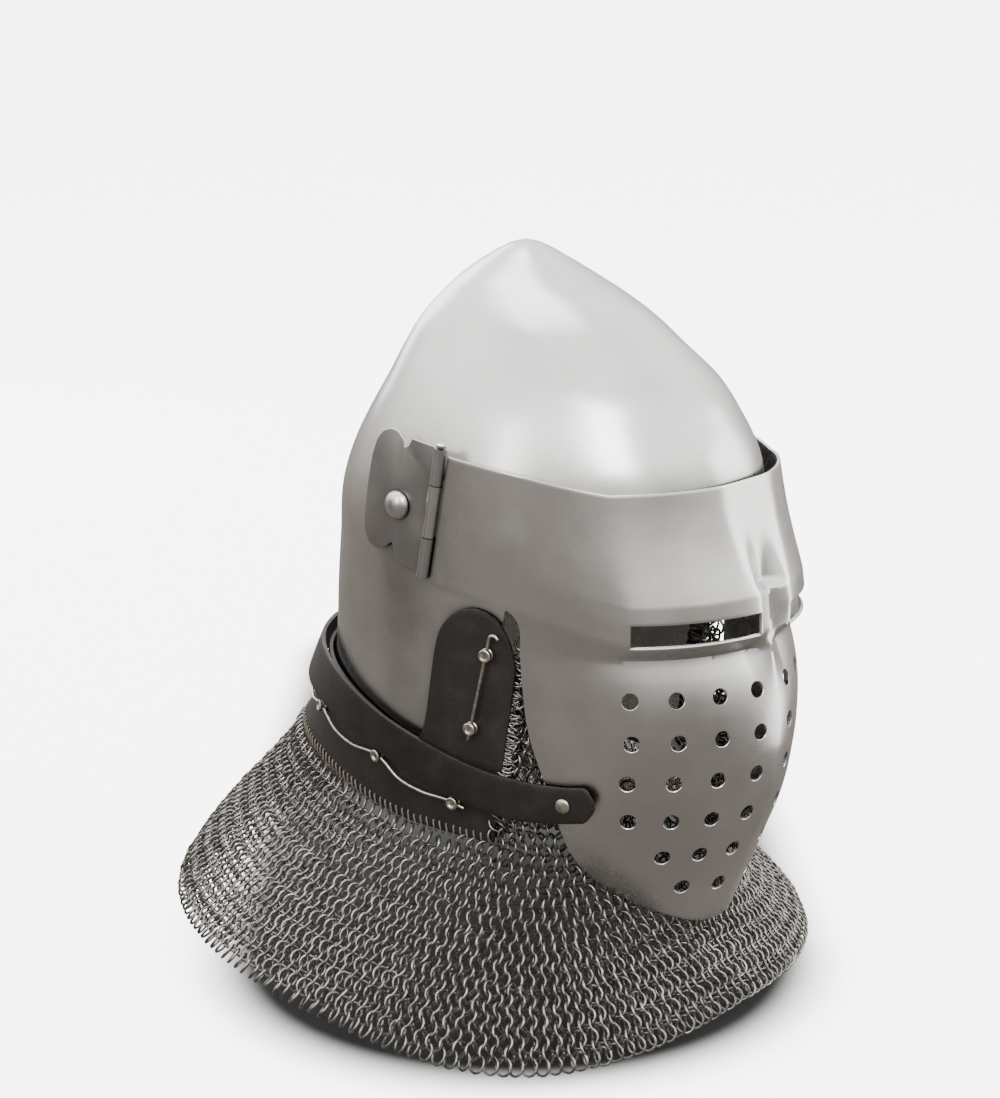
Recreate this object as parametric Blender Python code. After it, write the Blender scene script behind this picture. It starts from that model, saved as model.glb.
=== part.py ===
"""Hounskull bascinet with its visor closed, in metres.

Origin: on the pivot axis, midway between the two pivots. +X is the wearer's left, the face looks
along -Y, and +Z is up.
"""

import bpy
import bmesh
import numpy as np
from mathutils import Matrix, Vector

MM = 0.001

# Overall sizes. Every table below holds shares of these three.
HALF_WIDTH = 99.5 * MM  # middle of the skull to its side, at the pivots
REACH = 147 * MM  # pivots to the skull's forehead
CROWN = 130.5 * MM  # pivots to the point of the skull

# Walls
SKULL_WALL = 2.0 * MM
VISOR_WALL = 1.8 * MM
PLATE_WALL = 2.0 * MM
LEATHER = 2.0 * MM
STRAP = 2.2 * MM
MAIL = 3.0 * MM

# Clearances
FIT = 0.35 * MM  # round a pin, a shank or a wire
REST = 0.4 * MM  # between two pieces that lie on each other
LINING = 1.0 * MM  # between the skull and the leather
HANG = 0.9 * MM  # between the leather's edge and the mail under it

# Fittings
SLIT_ENDS = (14 * MM, 78 * MM)  # each eye slit, from the middle of the visor
BREATH_RADIUS = 4.25 * MM
BREATH_FIRST = 14.5 * MM  # along the visor, from its middle
HINGE_LEAN = np.radians(10.5)
HINGE_BACK = 23.7 * MM  # hinge line to the pivots, at their height
PLATE_HALF = 36 * MM  # half the height of a hinge plate
PLATE_OUT = 0.9 * MM  # skull to hinge plate, at the pivots
PIN_RADIUS = 1.3 * MM
KNUCKLE_RADIUS = 3.6 * MM
KNUCKLE_GAP = 0.5 * MM
BLOCK_FACES = (1.9 * MM, 0.5 * MM)  # hinge line to the inner and outer face of the visor's tongue
TONGUE = 3.0 * MM  # how far that tongue reaches into the visor
PIVOT_SHANK = 3.0 * MM
PIVOT_DOME = 7.75 * MM
DOME_RISE = 0.62  # height of the dome, as a share of its radius
DOME_BANDS = (12, 35, 60)  # degrees up the dome
PIN_HEAD = 1.2 * MM  # height of the flare under a pin's head
EDGE = 1.0 * MM  # bevel and thickness of a small head
STUD_RADIUS = 3.5 * MM
STUD_HEIGHT = 4.6 * MM
STUD_SHANK = 1.6 * MM
STUD_DIMPLE = 0.8 * MM
STAND_OFF = 30 * MM  # most that the leather may stand off the skull at a stud
SEARCH_STEP = 0.05 * MM
WIRE_RADIUS = 0.9 * MM
TAB_RIVET = 4.0 * MM
TAB_TAIL = 0.1 * MM  # inner face of the strap to the end of its rivet

# Sides of a round piece, of a knuckle or a breath, of a dome, of a hole in a stud, and of a wire
ROD_SIDES = 10
BORE_SIDES = 12
DOME_SIDES = 14
STUD_HOLE_SIDES = 8
WIRE_SIDES = 6

# Powers of the plan curves |x|^side + |y|^power = 1
SKULL_FRONT, SKULL_REAR = 2.2, 2.0
VISOR_SIDE, VISOR_FRONT = 1.8, 3.6


def table(units, rows):
    """Rows of shares turned into metres, and handed back column by column."""
    return tuple(np.array(rows, float).T * np.array(units)[:, None])


# Skull, from the point down: height, half width, front, back, middle
SKULL_Z, SKULL_X, SKULL_Y0, SKULL_Y1, SKULL_YC = table(
    (CROWN, HALF_WIDTH, REACH, REACH, REACH),
    (
        (1, 0.003, 0.0361, -0.032, -0.034),
        (0.9885, 0.0704, 0.0748, 0.0102, -0.034),
        (0.9693, 0.1357, 0.1122, 0.0476, -0.034),
        (0.9349, 0.2211, 0.1633, 0.0986, -0.0272),
        (0.8659, 0.3719, 0.2653, 0.1803, -0.0204),
        (0.7893, 0.4824, 0.4014, 0.2517, -0.0136),
        (0.6897, 0.603, 0.5442, 0.3265, -0.0068),
        (0.59, 0.6935, 0.6565, 0.3741, 0),
        (0.4674, 0.794, 0.7959, 0.4252, 0),
        (0.3218, 0.8894, 0.8912, 0.5034, 0),
        (0.1916, 0.9497, 0.9558, 0.5714, 0),
        (0, 1, 0.9932, 0.6395, 0),
        (-0.2299, 1.003, 1, 0.6633, 0),
        (-0.4598, 0.995, 1, 0.6905, 0),
        (-0.613, 0.9849, 1, 0.7041, 0),
        (-0.9195, 0.9648, 1, 0.7415, 0),
        (-1.1494, 0.9447, 1, 0.7755, 0),
        (-1.4559, 0.9146, 1, 0.8231, 0),
    ),
)
SKULL_LEVEL_COUNT = 6  # rings between the pivots and the rim
RIM_HEIGHT = -1.24598 * CROWN  # skull's rim, at the pivots' place along
RIM_SLOPE = 0.25  # how much the rim falls towards the face
RIM_PASS_COUNT = 6  # rounds of fitting a level of the skull to the rim's slope
SKULL_COLUMN_COUNT = 40  # columns of the skull

# Face opening of the skull, seen from the side: forward, height
FACE_Y, FACE_Z = table(
    (-REACH, CROWN),
    (
        (0.3673, -1.6475),
        (0.4082, -0.4751),
        (0.4252, -0.3831),
        (0.4694, -0.2989),
        (0.5374, -0.2375),
        (0.6463, -0.2146),
        (1.1905, -0.2146),
        (1.1905, -1.6475),
    ),
)

# Visor, from its top edge down: height in the middle, at the corner, at the wing's end, corner
# from the middle, half width of the plan curve, reach in the middle, at the box, at the cheek,
# and half width of the groove. Rows under the slits have no wing
VISOR_NAMES = """top middle swell brow shelf slit_top slit_bottom undercut
    row1 row2 row3 row4 row5 row6 chin"""
V_MID, V_END, V_WING, V_EDGE, V_HALF, V_NOSE, V_BOX, V_CHEEK, V_GROOVE = table(
    (CROWN, CROWN, CROWN, HALF_WIDTH, HALF_WIDTH, REACH, REACH, REACH, HALF_WIDTH),
    (
        (0.1226, 0.1885, 0.2261, 0.991, 1.0352, 1.0156, 1.0272, 1.0136, 0.2814),
        (0, 0.0766, 0.092, 0.991, 1.0352, 1.032, 1.051, 1.034, 0.2613),
        (-0.1379, -0.046, -0.0307, 0.991, 1.0352, 1.0578, 1.0884, 1.0544, 0.2211),
        (-0.2759, -0.1686, -0.1379, 0.991, 1.0352, 1.0748, 1.1361, 1.068, 0.1709),
        (-0.3065, -0.1992, -0.1609, 0.991, 1.0352, 1.1088, 1.1463, 1.0714, 0.1407),
        (-0.3739, -0.2529, -0.2146, 0.991, 1.0352, 1.1136, 1.1565, 1.0782, 0.1407),
        (-0.4674, -0.3525, -0.2912, 0.991, 1.0352, 1.1224, 1.1565, 1.0884, 0.1407),
        (-0.5364, -0.5134, 0, 0.9799, 1.0191, 1.1327, 1.0884, 1.0952, 0.1407),
        (-0.6897, -0.6743, 0, 0.9698, 1.006, 1.1565, 1.1429, 1.1293, 0.4523),
        (-0.8621, -0.8582, 0, 0.9447, 0.9809, 1.1769, 1.1565, 1.1429, 0.4523),
        (-1.0383, -1.0268, 0, 0.8945, 0.9407, 1.1633, 1.1429, 1.1293, 0.4523),
        (-1.2146, -1.1877, 0, 0.8442, 0.9015, 1.1293, 1.1156, 1.1088, 0.4523),
        (-1.3793, -1.3793, 0, 0.7739, 0.8563, 1.0714, 1.0476, 1.0408, 0.4523),
        (-1.5402, -1.4943, 0, 0.6633, 0.793, 1.017, 1, 0.9932, 0.4523),
        (-1.7395, -1.5862, 0, 0.5226, 0.7688, 0.9388, 0.9354, 0.932, 0.4523),
    ),
)
# Columns of the visor from its middle to its corner, and of its wing from there to the hinge
(VISOR_X,) = table((HALF_WIDTH,), (
    (0,),
    (0.0704,),
    (0.1407,),
    (0.2513,),
    (0.3719,),
    (0.5025,),
    (0.6432,),
    (0.7839,),
    (0.8543,),
    (0.9246,),
    (0.9628,),
    (0.991,),
))
BOX_MITRE = 14 * MM  # the box's outer end, across
WING_COUNT = 4  # columns of the wing
WING_CORNER = 75 * MM  # forward of the pivots
# Rows of breaths: holes on each side, and their pitch along the visor
BREATHS = (
    ("row1", 4, 24.3 * MM),
    ("row2", 4, 24.3 * MM),
    ("row3", 4, 24.3 * MM),
    ("row4", 4, 22.6 * MM),
    ("row5", 3, 21.0 * MM),
    ("row6", 2, 23.0 * MM),
)

# Hinge plate outside its knuckles: behind the hinge line, above the pivot
PLATE_U, PLATE_V = table(
    (PLATE_HALF, PLATE_HALF),
    (
        (0.5556, 0.9222),
        (0.6056, 0.7917),
        (0.6667, 0.7556),
        (0.7222, 0.875),
        (0.8194, 0.9528),
        (0.9583, 0.9611),
        (1.0972, 0.8889),
        (1.1944, 0.7361),
        (1.25, 0.4722),
        (1.2639, 0),
        (1.25, -0.4722),
        (1.1944, -0.7222),
        (1.0833, -0.8611),
        (0.9306, -0.8972),
        (0.7917, -0.8278),
        (0.675, -0.6944),
        (0.5556, -0.9806),
    ),
)
# Knuckles along the hinge line: the visor's, and the plate's above and below it
VISOR_KNUCKLE = 14 * MM
PLATE_KNUCKLES = ((14.5 * MM, 34 * MM), (-36 * MM, -14.5 * MM))
PIN_ENDS = (-37.0 * MM, 35.9 * MM)

# Leather on the side and back: angle and height of its top edge, angle and height of its lower
# edge. Angles are in degrees round the helmet, from the middle of the face
L_TOP_A, L_TOP_Z, L_LOW_A, L_LOW_Z = table(
    (1, CROWN, 1, CROWN),
    (
        (64.7, -0.613, 71.3, -1.3663),
        (65.4, -0.5211, 72.5, -1.3663),
        (67.2, -0.4444, 74, -1.3655),
        (70.2, -0.3946, 76, -1.364),
        (74, -0.3755, 79, -1.3625),
        (78, -0.3985, 82, -1.3594),
        (81.3, -0.4674, 84.5, -1.3563),
        (83, -0.567, 86.5, -1.3548),
        (86.3, -0.977, 89.5, -1.351),
        (90, -0.9625, 93, -1.3433),
        (95, -0.9349, 98, -1.3303),
        (102, -0.8966, 104, -1.3134),
        (109, -0.8621, 110, -1.2943),
        (116, -0.8314, 117, -1.2705),
        (123, -0.8046, 124, -1.246),
        (131, -0.7816, 131, -1.2238),
        (139, -0.764, 139, -1.2015),
        (147, -0.751, 147, -1.1801),
        (155, -0.7433, 155, -1.1648),
        (163, -0.7379, 163, -1.1571),
        (171.5, -0.7356, 171.5, -1.1517),
        (180, -0.7356, 180, -1.1494),
    ),
)
LEATHER_ROW_COUNT = 5
# Back of the leather, which stands off the skull lower down: height, reach
FLARE_Z, FLARE_Y = table(
    (CROWN, REACH),
    (
        (-1.3793, 0.9932),
        (-1.1494, 0.9388),
        (-0.9962, 0.8503),
        (-0.8736, 0.7925),
        (-0.7816, 0.7605),
        (-0.6513, 0.7245),
        (-0.3065, 0.7041),
    ),
)
# How much of that flare there is: degrees round the helmet, share
FLARE_A, FLARE_SHARE = table((1, 1), ((90, 0), (115, 0.35), (135, 0.8), (150, 1), (180, 1)))

# Studs: degrees round the helmet, height
RIM_A, RIM_Z = table(
    (1, CROWN),
    (
        (79.5, -1.2107),
        (99.5, -1.0881),
        (129.5, -1.0038),
        (157, -0.9655),
    ),
)
CHEEK_A, CHEEK_Z = table(
    (1, CROWN),
    (
        (70.75, -0.5556),
        (74.75, -0.8736),
    ),
)
WIRE_SAG = 4 * MM

# Strap from its end to the nape: from the middle, along, height of its middle, width, and how
# far its lower edge stands out past its upper one
S_X, S_Y, S_Z, S_WIDE, S_LEAN = table(
    (HALF_WIDTH, REACH, CROWN, CROWN, HALF_WIDTH),
    (
        (0.8322, -0.7653, -1.1203, 0.0766, 0),
        (0.8342, -0.7551, -1.1218, 0.1226, 0),
        (0.8392, -0.7313, -1.1249, 0.1418, 0),
        (0.8492, -0.7007, -1.1295, 0.1441, 0),
        (0.8623, -0.6633, -1.1372, 0.1456, 0),
        (0.8925, -0.5714, -1.1456, 0.1571, -0.003),
        (0.9246, -0.4762, -1.1456, 0.1686, -0.005),
        (0.9588, -0.3741, -1.1341, 0.1709, -0.007),
        (0.9819, -0.2585, -1.1057, 0.1709, -0.0101),
        (0.995, -0.1361, -1.0697, 0.1709, -0.0101),
        (1.003, 0, -1.0222, 0.1686, -0.0101),
        (0.998, 0.1361, -0.9716, 0.1686, 0),
        (0.9578, 0.2993, -0.9042, 0.1732, 0.0201),
        (0.8643, 0.4592, -0.849, 0.1778, 0.0503),
        (0.7035, 0.6088, -0.8084, 0.1839, 0.0804),
        (0.4824, 0.7109, -0.7877, 0.1839, 0.1005),
        (0.2462, 0.7687, -0.7816, 0.1839, 0.1106),
        (0, 0.7891, -0.7816, 0.1839, 0.1156),
    ),
)

TAB_INDEX = 4  # row of that table where the rivet sits

# Mail, from the leather down: height at the front, slanting front, side and back, half width,
# front, back
M_ZF, M_ZD, M_ZS, M_ZB, M_X, M_Y0, M_Y1 = table(
    (CROWN, CROWN, CROWN, CROWN, HALF_WIDTH, REACH, REACH),
    (
        (-1.8084, -1.6245, -1.4559, -1.249, 1.0452, 0.8844, 1.0204),
        (-1.8621, -1.7471, -1.5862, -1.4023, 1.196, 0.9116, 1.1429),
        (-1.9157, -1.8697, -1.7011, -1.5556, 1.407, 0.966, 1.2653),
        (-1.977, -1.9693, -1.8084, -1.6935, 1.6281, 1.0136, 1.3537),
        (-2.0383, -2.0613, -1.8927, -1.8008, 1.7688, 1.0476, 1.4014),
        (-2.0766, -2.1149, -1.931, -1.8851, 1.8291, 1.0612, 1.415),
    ),
)
MAIL_FRONT, MAIL_SIDE, MAIL_REAR = 2.5, 1.95, 2.0
MAIL_COLUMN_COUNT = 40
MAIL_STOPS = (0, 50, 95, 180)  # degrees round at which those four heights hold
BIB_COLUMN_COUNT = 8  # column of the mail at which the bib ends and the leather begins
# Bib of the mail inside the visor, from its top down: height in the middle, rise of its sides,
# half width, reach, degrees round to its sides
B_Z, B_RISE, B_X, B_Y, B_EDGE = table(
    (CROWN, CROWN, HALF_WIDTH, REACH, 1),
    (
        (-1.2644, 0.8199, 0.9548, 0.8163, 67.1),
        (-1.387, 0.567, 0.9497, 0.8095, 69.2),
        (-1.5172, 0.3602, 0.9397, 0.8095, 73),
        (-1.6552, 0.2759, 0.9296, 0.8435, 75.5),
    ),
)


def curve(xs, ys, at):
    """Smooth line through the points of a table. The table may run up or down."""
    order = np.argsort(xs)
    xs, ys = xs[order], ys[order]
    slopes = np.gradient(ys, xs)
    at = np.clip(at, xs[0], xs[-1])
    i = np.clip(np.searchsorted(xs, at) - 1, 0, len(xs) - 2)
    step = xs[i + 1] - xs[i]
    t = (at - xs[i]) / step
    rise = ys[i] * (1 + 2 * t) * (1 - t) ** 2 + ys[i + 1] * t * t * (3 - 2 * t)
    return rise + step * (slopes[i] * t * (1 - t) ** 2 - slopes[i + 1] * t * t * (1 - t))


def outline(angle, half, front, back, powers):
    """Plan curve at angles in degrees from the middle of the face, towards the right side."""
    side, front_power, rear_power = powers
    a = np.radians(angle)
    s, c = np.sin(a), np.cos(a)
    x = -half * np.sign(s) * np.abs(s) ** (2 / side)
    ahead = -front * np.abs(c) ** (2 / front_power)
    behind = back * np.abs(c) ** (2 / rear_power)
    return x, np.where(c > 0, ahead, behind)


def skull_at(angle, z, out=0.0):
    """Point of the skull's outside, or of a layer that lies this far out from it."""
    middle = curve(SKULL_Z, SKULL_YC, z)
    half = curve(SKULL_Z, SKULL_X, z) + out
    front = curve(SKULL_Z, SKULL_Y0, z) + middle + out
    back = curve(SKULL_Z, SKULL_Y1, z) - middle + out
    power = np.where(np.cos(np.radians(angle)) > 0, SKULL_FRONT, SKULL_REAR)
    x, y = outline(angle, half, front, back, (power, SKULL_FRONT, SKULL_REAR))
    return np.stack([x, y + middle, z + 0 * x], -1)


def leather_at(angle, z, out=0.0):
    """Point of the leather's outside. At the back it stands off the skull."""
    close = LINING + LEATHER + out
    half = curve(SKULL_Z, SKULL_X, z) + close
    front = curve(SKULL_Z, SKULL_Y0, z) + close
    back = curve(SKULL_Z, SKULL_Y1, z) + close
    flare = np.maximum(curve(FLARE_Z, FLARE_Y, z) + out - back, 0)
    back = back + flare * np.interp(angle, FLARE_A, FLARE_SHARE)
    power = np.where(np.cos(np.radians(angle)) > 0, SKULL_FRONT, SKULL_REAR)
    x, y = outline(angle, half, front, back, (power, SKULL_FRONT, SKULL_REAR))
    return np.stack([x, y, z + 0 * x], -1)


def material(name, colour, metallic, roughness):
    made = bpy.data.materials.new(name)
    made.use_nodes = True
    shader = made.node_tree.nodes["Principled BSDF"]
    shader.inputs["Base Color"].default_value = (*colour, 1)
    shader.inputs["Metallic"].default_value = metallic
    shader.inputs["Roughness"].default_value = roughness
    made.diffuse_color = (*colour, 1)
    return made


def add(name, mesh, surface=None):
    """Turn a bmesh into an object. Without a surface it is a helper that stays hidden."""
    data = bpy.data.meshes.new(name)
    mesh.to_mesh(data)
    mesh.free()
    data.shade_smooth()
    made = bpy.data.objects.new(name, data)
    bpy.context.scene.collection.objects.link(made)
    if surface:
        data.materials.append(surface)
    else:
        made.hide_render = True
        made.display_type = "WIRE"
    return made


def sheet(name, grid, kept, wall, surface, ring=False, tip=None, even=False):
    """Walled sheet through a grid of points. kept says which of its cells are there."""
    mesh = bmesh.new()
    rows, columns = grid.shape[:2]
    corners = {}

    def corner(i, j):
        j = j % columns
        if (i, j) not in corners:
            corners[i, j] = mesh.verts.new(grid[i, j])
        return corners[i, j]

    for i in range(rows - 1):
        for j in range(columns if ring else columns - 1):
            if kept[i, j]:
                mesh.faces.new((corner(i, j), corner(i + 1, j), corner(i + 1, j + 1), corner(i, j + 1)))
    if tip is not None:
        point = mesh.verts.new(tip)
        for j in range(columns):
            mesh.faces.new((point, corner(0, j), corner(0, j + 1)))
    made = add(name, mesh, surface)
    solid = made.modifiers.new("Wall", "SOLIDIFY")
    solid.thickness = abs(wall)
    solid.offset = 1 if wall > 0 else -1
    solid.use_even_offset = even
    return made


def cut(target, other, operation="DIFFERENCE"):
    change = target.modifiers.new(operation.title(), "BOOLEAN")
    change.operation = operation
    change.object = other
    change.solver = "EXACT"


def hole(radius, sides):
    """Radius of a hole whose flats clear a round piece of this radius."""
    return (radius + FIT) / np.cos(np.pi / sides)


def rod(mesh, start, end, radius, sides):
    """Closed cylinder from start to end."""
    start, end = Vector(start), Vector(end)
    turn = (end - start).to_track_quat("Z", "Y").to_matrix().to_4x4()
    place = Matrix.Translation((start + end) / 2) @ turn
    bmesh.ops.create_cone(
        mesh,
        cap_ends=True,
        segments=sides,
        radius1=radius,
        radius2=radius,
        depth=(end - start).length,
        matrix=place,
    )


def turned(mesh, base, axis, profile, sides):
    """Solid turned about an axis: profile holds radius and height, from the axis to the axis."""
    turn = Vector(axis).to_track_quat("Z", "Y").to_matrix().to_4x4()
    place = Matrix.Translation(Vector(base)) @ turn
    rings = []
    for radius, height in profile:
        if radius == 0:
            rings.append([mesh.verts.new(place @ Vector((0, 0, height)))])
            continue
        angles = 2 * np.pi * np.arange(sides) / sides
        ring = [Vector((radius * np.cos(a), radius * np.sin(a), height)) for a in angles]
        rings.append([mesh.verts.new(place @ point) for point in ring])
    for low, high in zip(rings, rings[1:]):
        for k in range(sides):
            n = (k + 1) % sides
            loop = [low[k % len(low)], low[n % len(low)], high[n % len(high)], high[k % len(high)]]
            mesh.faces.new(list(dict.fromkeys(loop)))
    bmesh.ops.recalc_face_normals(mesh, faces=mesh.faces)


def swept(name, points, radius, sides, surface):
    """Wire along points, closed at both ends."""
    mesh = bmesh.new()
    points = [Vector(p) for p in points]
    rings = []
    up = None
    for i, point in enumerate(points):
        along = (points[min(i + 1, len(points) - 1)] - points[max(i - 1, 0)]).normalized()
        if up is None:
            up = along.orthogonal()
        up = (up - along * up.dot(along)).normalized()
        other = along.cross(up)
        angles = 2 * np.pi * np.arange(sides) / sides
        steps = [(radius * float(np.cos(a)), radius * float(np.sin(a))) for a in angles]
        rings.append([mesh.verts.new(point + up * rise + other * reach) for rise, reach in steps])
    for low, high in zip(rings, rings[1:]):
        for k in range(sides):
            n = (k + 1) % sides
            mesh.faces.new((low[k], low[n], high[n], high[k]))
    mesh.faces.new(rings[0])
    mesh.faces.new(rings[-1])
    bmesh.ops.recalc_face_normals(mesh, faces=mesh.faces)
    return add(name, mesh, surface)


def slab(mesh, corners, depth):
    """Flat outline pushed out by depth."""
    face = mesh.faces.new([mesh.verts.new(corner) for corner in corners])
    pushed = bmesh.ops.extrude_face_region(mesh, geom=[face])["geom"]
    moved = [item for item in pushed if isinstance(item, bmesh.types.BMVert)]
    bmesh.ops.translate(mesh, verts=moved, vec=Vector(depth))
    bmesh.ops.recalc_face_normals(mesh, faces=mesh.faces)


for leftover in list(bpy.data.objects):
    bpy.data.objects.remove(leftover)

STEEL = material("steel", (0.56, 0.55, 0.53), 1.0, 0.3)
DARK_LEATHER = material("leather", (0.03, 0.024, 0.02), 0.0, 0.55)
STUD_METAL = material("stud metal", (0.45, 0.43, 0.4), 1.0, 0.35)
RING_STEEL = material("mail", (0.09, 0.085, 0.08), 1.0, 0.45)
SIDES = ((-1, "right"), (1, "left"))


def rim_z(y):
    return RIM_HEIGHT + RIM_SLOPE * y


# Skull
angles = np.arange(SKULL_COLUMN_COUNT) * (360 / SKULL_COLUMN_COUNT)
rings = [skull_at(angles, np.full(len(angles), z)) for z in SKULL_Z[1:] if z >= 0]
for level in range(1, SKULL_LEVEL_COUNT + 1):
    share = level / SKULL_LEVEL_COUNT
    z = np.full(len(angles), share * RIM_HEIGHT)
    for _ in range(RIM_PASS_COUNT):
        z = share * rim_z(skull_at(angles, z)[:, 1])
    rings.append(skull_at(angles, z))
grid = np.array(rings)[:, ::-1]
tip = (0, SKULL_YC[0], CROWN)
everywhere = np.ones(grid.shape[:2], bool)
skull = sheet("skull", grid, everywhere, -SKULL_WALL, STEEL, ring=True, tip=tip, even=True)

opening = bmesh.new()
slab(opening, [(-2 * HALF_WIDTH, y, z) for y, z in zip(FACE_Y, FACE_Z)], (4 * HALF_WIDTH, 0, 0))
cut(skull, add("face_cutter", opening))

pivots = bmesh.new()
for side, _ in SIDES:
    inside, outside = HALF_WIDTH - 3 * SKULL_WALL, HALF_WIDTH + PLATE_OUT + 2 * PLATE_WALL
    start, end = (side * inside, 0, 0), (side * outside, 0, 0)
    rod(pivots, start, end, hole(PIVOT_SHANK, BORE_SIDES), BORE_SIDES)
pivot_cutter = add("pivot_cutter", pivots)
cut(skull, pivot_cutter)

# Hinge line of the right side: its point at the pivots' height, and its direction upward
PLATE_IN = HALF_WIDTH + PLATE_OUT
HINGE_X = PLATE_IN + 1.4 * PLATE_WALL
HINGE_UP = np.array([0, -np.sin(HINGE_LEAN), np.cos(HINGE_LEAN)])
HINGE_REAR = np.array([0, np.cos(HINGE_LEAN), np.sin(HINGE_LEAN)])


def hinge(side, u, v, x=HINGE_X):
    """Point behind the hinge line by u and along it by v."""
    return np.array([side * x, -HINGE_BACK, 0]) + u * HINGE_REAR + v * HINGE_UP


def visor_rows(height_rows, columns):
    """Points of the right half of the visor, from its middle to its corner. A row may lie between
    two of the table."""
    index = np.arange(len(V_MID))
    found = []
    for row in height_rows:
        mid, end, edge, half = [
            np.interp(row, index, col) for col in (V_MID, V_END, V_EDGE, V_HALF)
        ]
        nose, box, cheek, groove = [
            np.interp(row, index, col) for col in (V_NOSE, V_BOX, V_CHEEK, V_GROOVE)
        ]
        x = np.array(columns, float)
        if row > ROW["undercut"]:
            x = x * edge / VISOR_X[-1]
        else:
            stretch = (edge - SLIT_ENDS[0]) / (VISOR_X[-1] - SLIT_ENDS[0])
            x = np.where(x > SLIT_ENDS[0], SLIT_ENDS[0] + (x - SLIT_ENDS[0]) * stretch, x)
        reach = nose + (box - nose) * np.clip(x / groove, 0, 1)
        reach = reach + (cheek - box) * np.clip((x - SLIT_ENDS[1]) / BOX_MITRE, 0, 1)
        y = -reach * (1 - (x / half) ** VISOR_SIDE) ** (1 / VISOR_FRONT)
        if row <= ROW["slit_bottom"]:
            at_end = np.interp(SLIT_ENDS[1], x, y)
            share = np.clip((y - at_end) / (-WING_CORNER - at_end), 0, 1)
            share = np.where(x <= SLIT_ENDS[1], 0, share)
        else:
            share = (x / edge) ** 2
        z = mid + (end - mid) * share
        found.append(np.stack([-x, y, z], -1))
    return np.array(found)


ROW = {name: number for number, name in enumerate(VISOR_NAMES.split())}
half = visor_rows(range(len(V_MID)), VISOR_X)
# Wing: on from the corner to just ahead of the hinge line
wing = np.zeros((len(V_MID), WING_COUNT, 3))
for i in range(ROW["slit_bottom"] + 1):
    corner = half[i, -1]
    lean_z = V_WING[i]
    end_y = -HINGE_BACK - np.tan(HINGE_LEAN) * lean_z - KNUCKLE_RADIUS - KNUCKLE_GAP * 2
    for k in range(WING_COUNT):
        share = (k + 1) / WING_COUNT
        y = corner[1] + share * (end_y - corner[1])
        reach = V_CHEEK[i]
        x = V_HALF[i] * (1 - (-y / reach) ** VISOR_FRONT) ** (1 / VISOR_SIDE)
        z = corner[2] + share * (lean_z - corner[2])
        wing[i, k] = (-x, y, z)
half = np.concatenate([half, wing], axis=1)
mirror = half[:, :0:-1] * (-1, 1, 1)
grid = np.concatenate([mirror, half], axis=1)[:, ::-1]
rows, columns = grid.shape[:2]
kept = np.ones((rows - 1, columns - 1), bool)
kept[ROW["slit_bottom"]:, :WING_COUNT] = False
kept[ROW["slit_bottom"]:, -WING_COUNT:] = False
centre = columns // 2
first = int(np.argmin(abs(VISOR_X - SLIT_ENDS[0])))
last = int(np.argmin(abs(VISOR_X - SLIT_ENDS[1])))
kept[ROW["slit_top"], centre + first:centre + last] = False
kept[ROW["slit_top"], centre - last:centre - first] = False
visor = sheet("visor", grid, kept, -VISOR_WALL, STEEL, even=True)

knuckles, blocks, bores, breaths = bmesh.new(), bmesh.new(), bmesh.new(), bmesh.new()
for side, _ in SIDES:
    low, high = hinge(side, 0, -VISOR_KNUCKLE), hinge(side, 0, VISOR_KNUCKLE)
    rod(knuckles, low, high, KNUCKLE_RADIUS, BORE_SIDES)
    low, high = hinge(side, 0, -2 * PLATE_HALF), hinge(side, 0, 2 * PLATE_HALF)
    rod(bores, low, high, hole(PIN_RADIUS, ROD_SIDES), ROD_SIDES)
    reach_u, hold_u, tall = -KNUCKLE_RADIUS - TONGUE, -PIN_RADIUS - 3 * FIT, VISOR_KNUCKLE - EDGE
    near, far = [HINGE_X - depth for depth in BLOCK_FACES]
    corners = [(reach_u, -tall), (hold_u, -tall), (hold_u, tall), (reach_u, tall)]
    slab(blocks, [hinge(side, u, v, near) for u, v in corners], (side * (far - near), 0, 0))
for name, count, pitch in BREATHS:
    line = np.linspace(0, VISOR_X[-1], 200)
    points = visor_rows([ROW[name]], line)[0]
    above = visor_rows([ROW[name] - 0.05], line)[0]
    length = np.concatenate([[0], np.cumsum(np.linalg.norm(np.diff(points, axis=0), axis=1))])
    for k in range(count):
        i = int(np.searchsorted(length, BREATH_FIRST + k * pitch))
        along = points[i + 1] - points[i - 1]
        normal = np.cross(along, above[i] - points[i])
        outward = np.sign(normal @ (points[i] * (1, 1, 0)))
        normal = normal / np.linalg.norm(normal) * outward
        for side in (-1, 1):
            flip = np.array([-side, 1, 1])
            start = (points[i] - 4 * normal * VISOR_WALL) * flip
            end = (points[i] + 2 * normal * VISOR_WALL) * flip
            rod(breaths, start, end, BREATH_RADIUS, BORE_SIDES)
cut(visor, add("visor_knuckles", knuckles), "UNION")
cut(visor, add("visor_blocks", blocks), "UNION")
bore_cutter = add("bore_cutter", bores)
cut(visor, bore_cutter)
cut(visor, add("breath_cutter", breaths))

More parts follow.
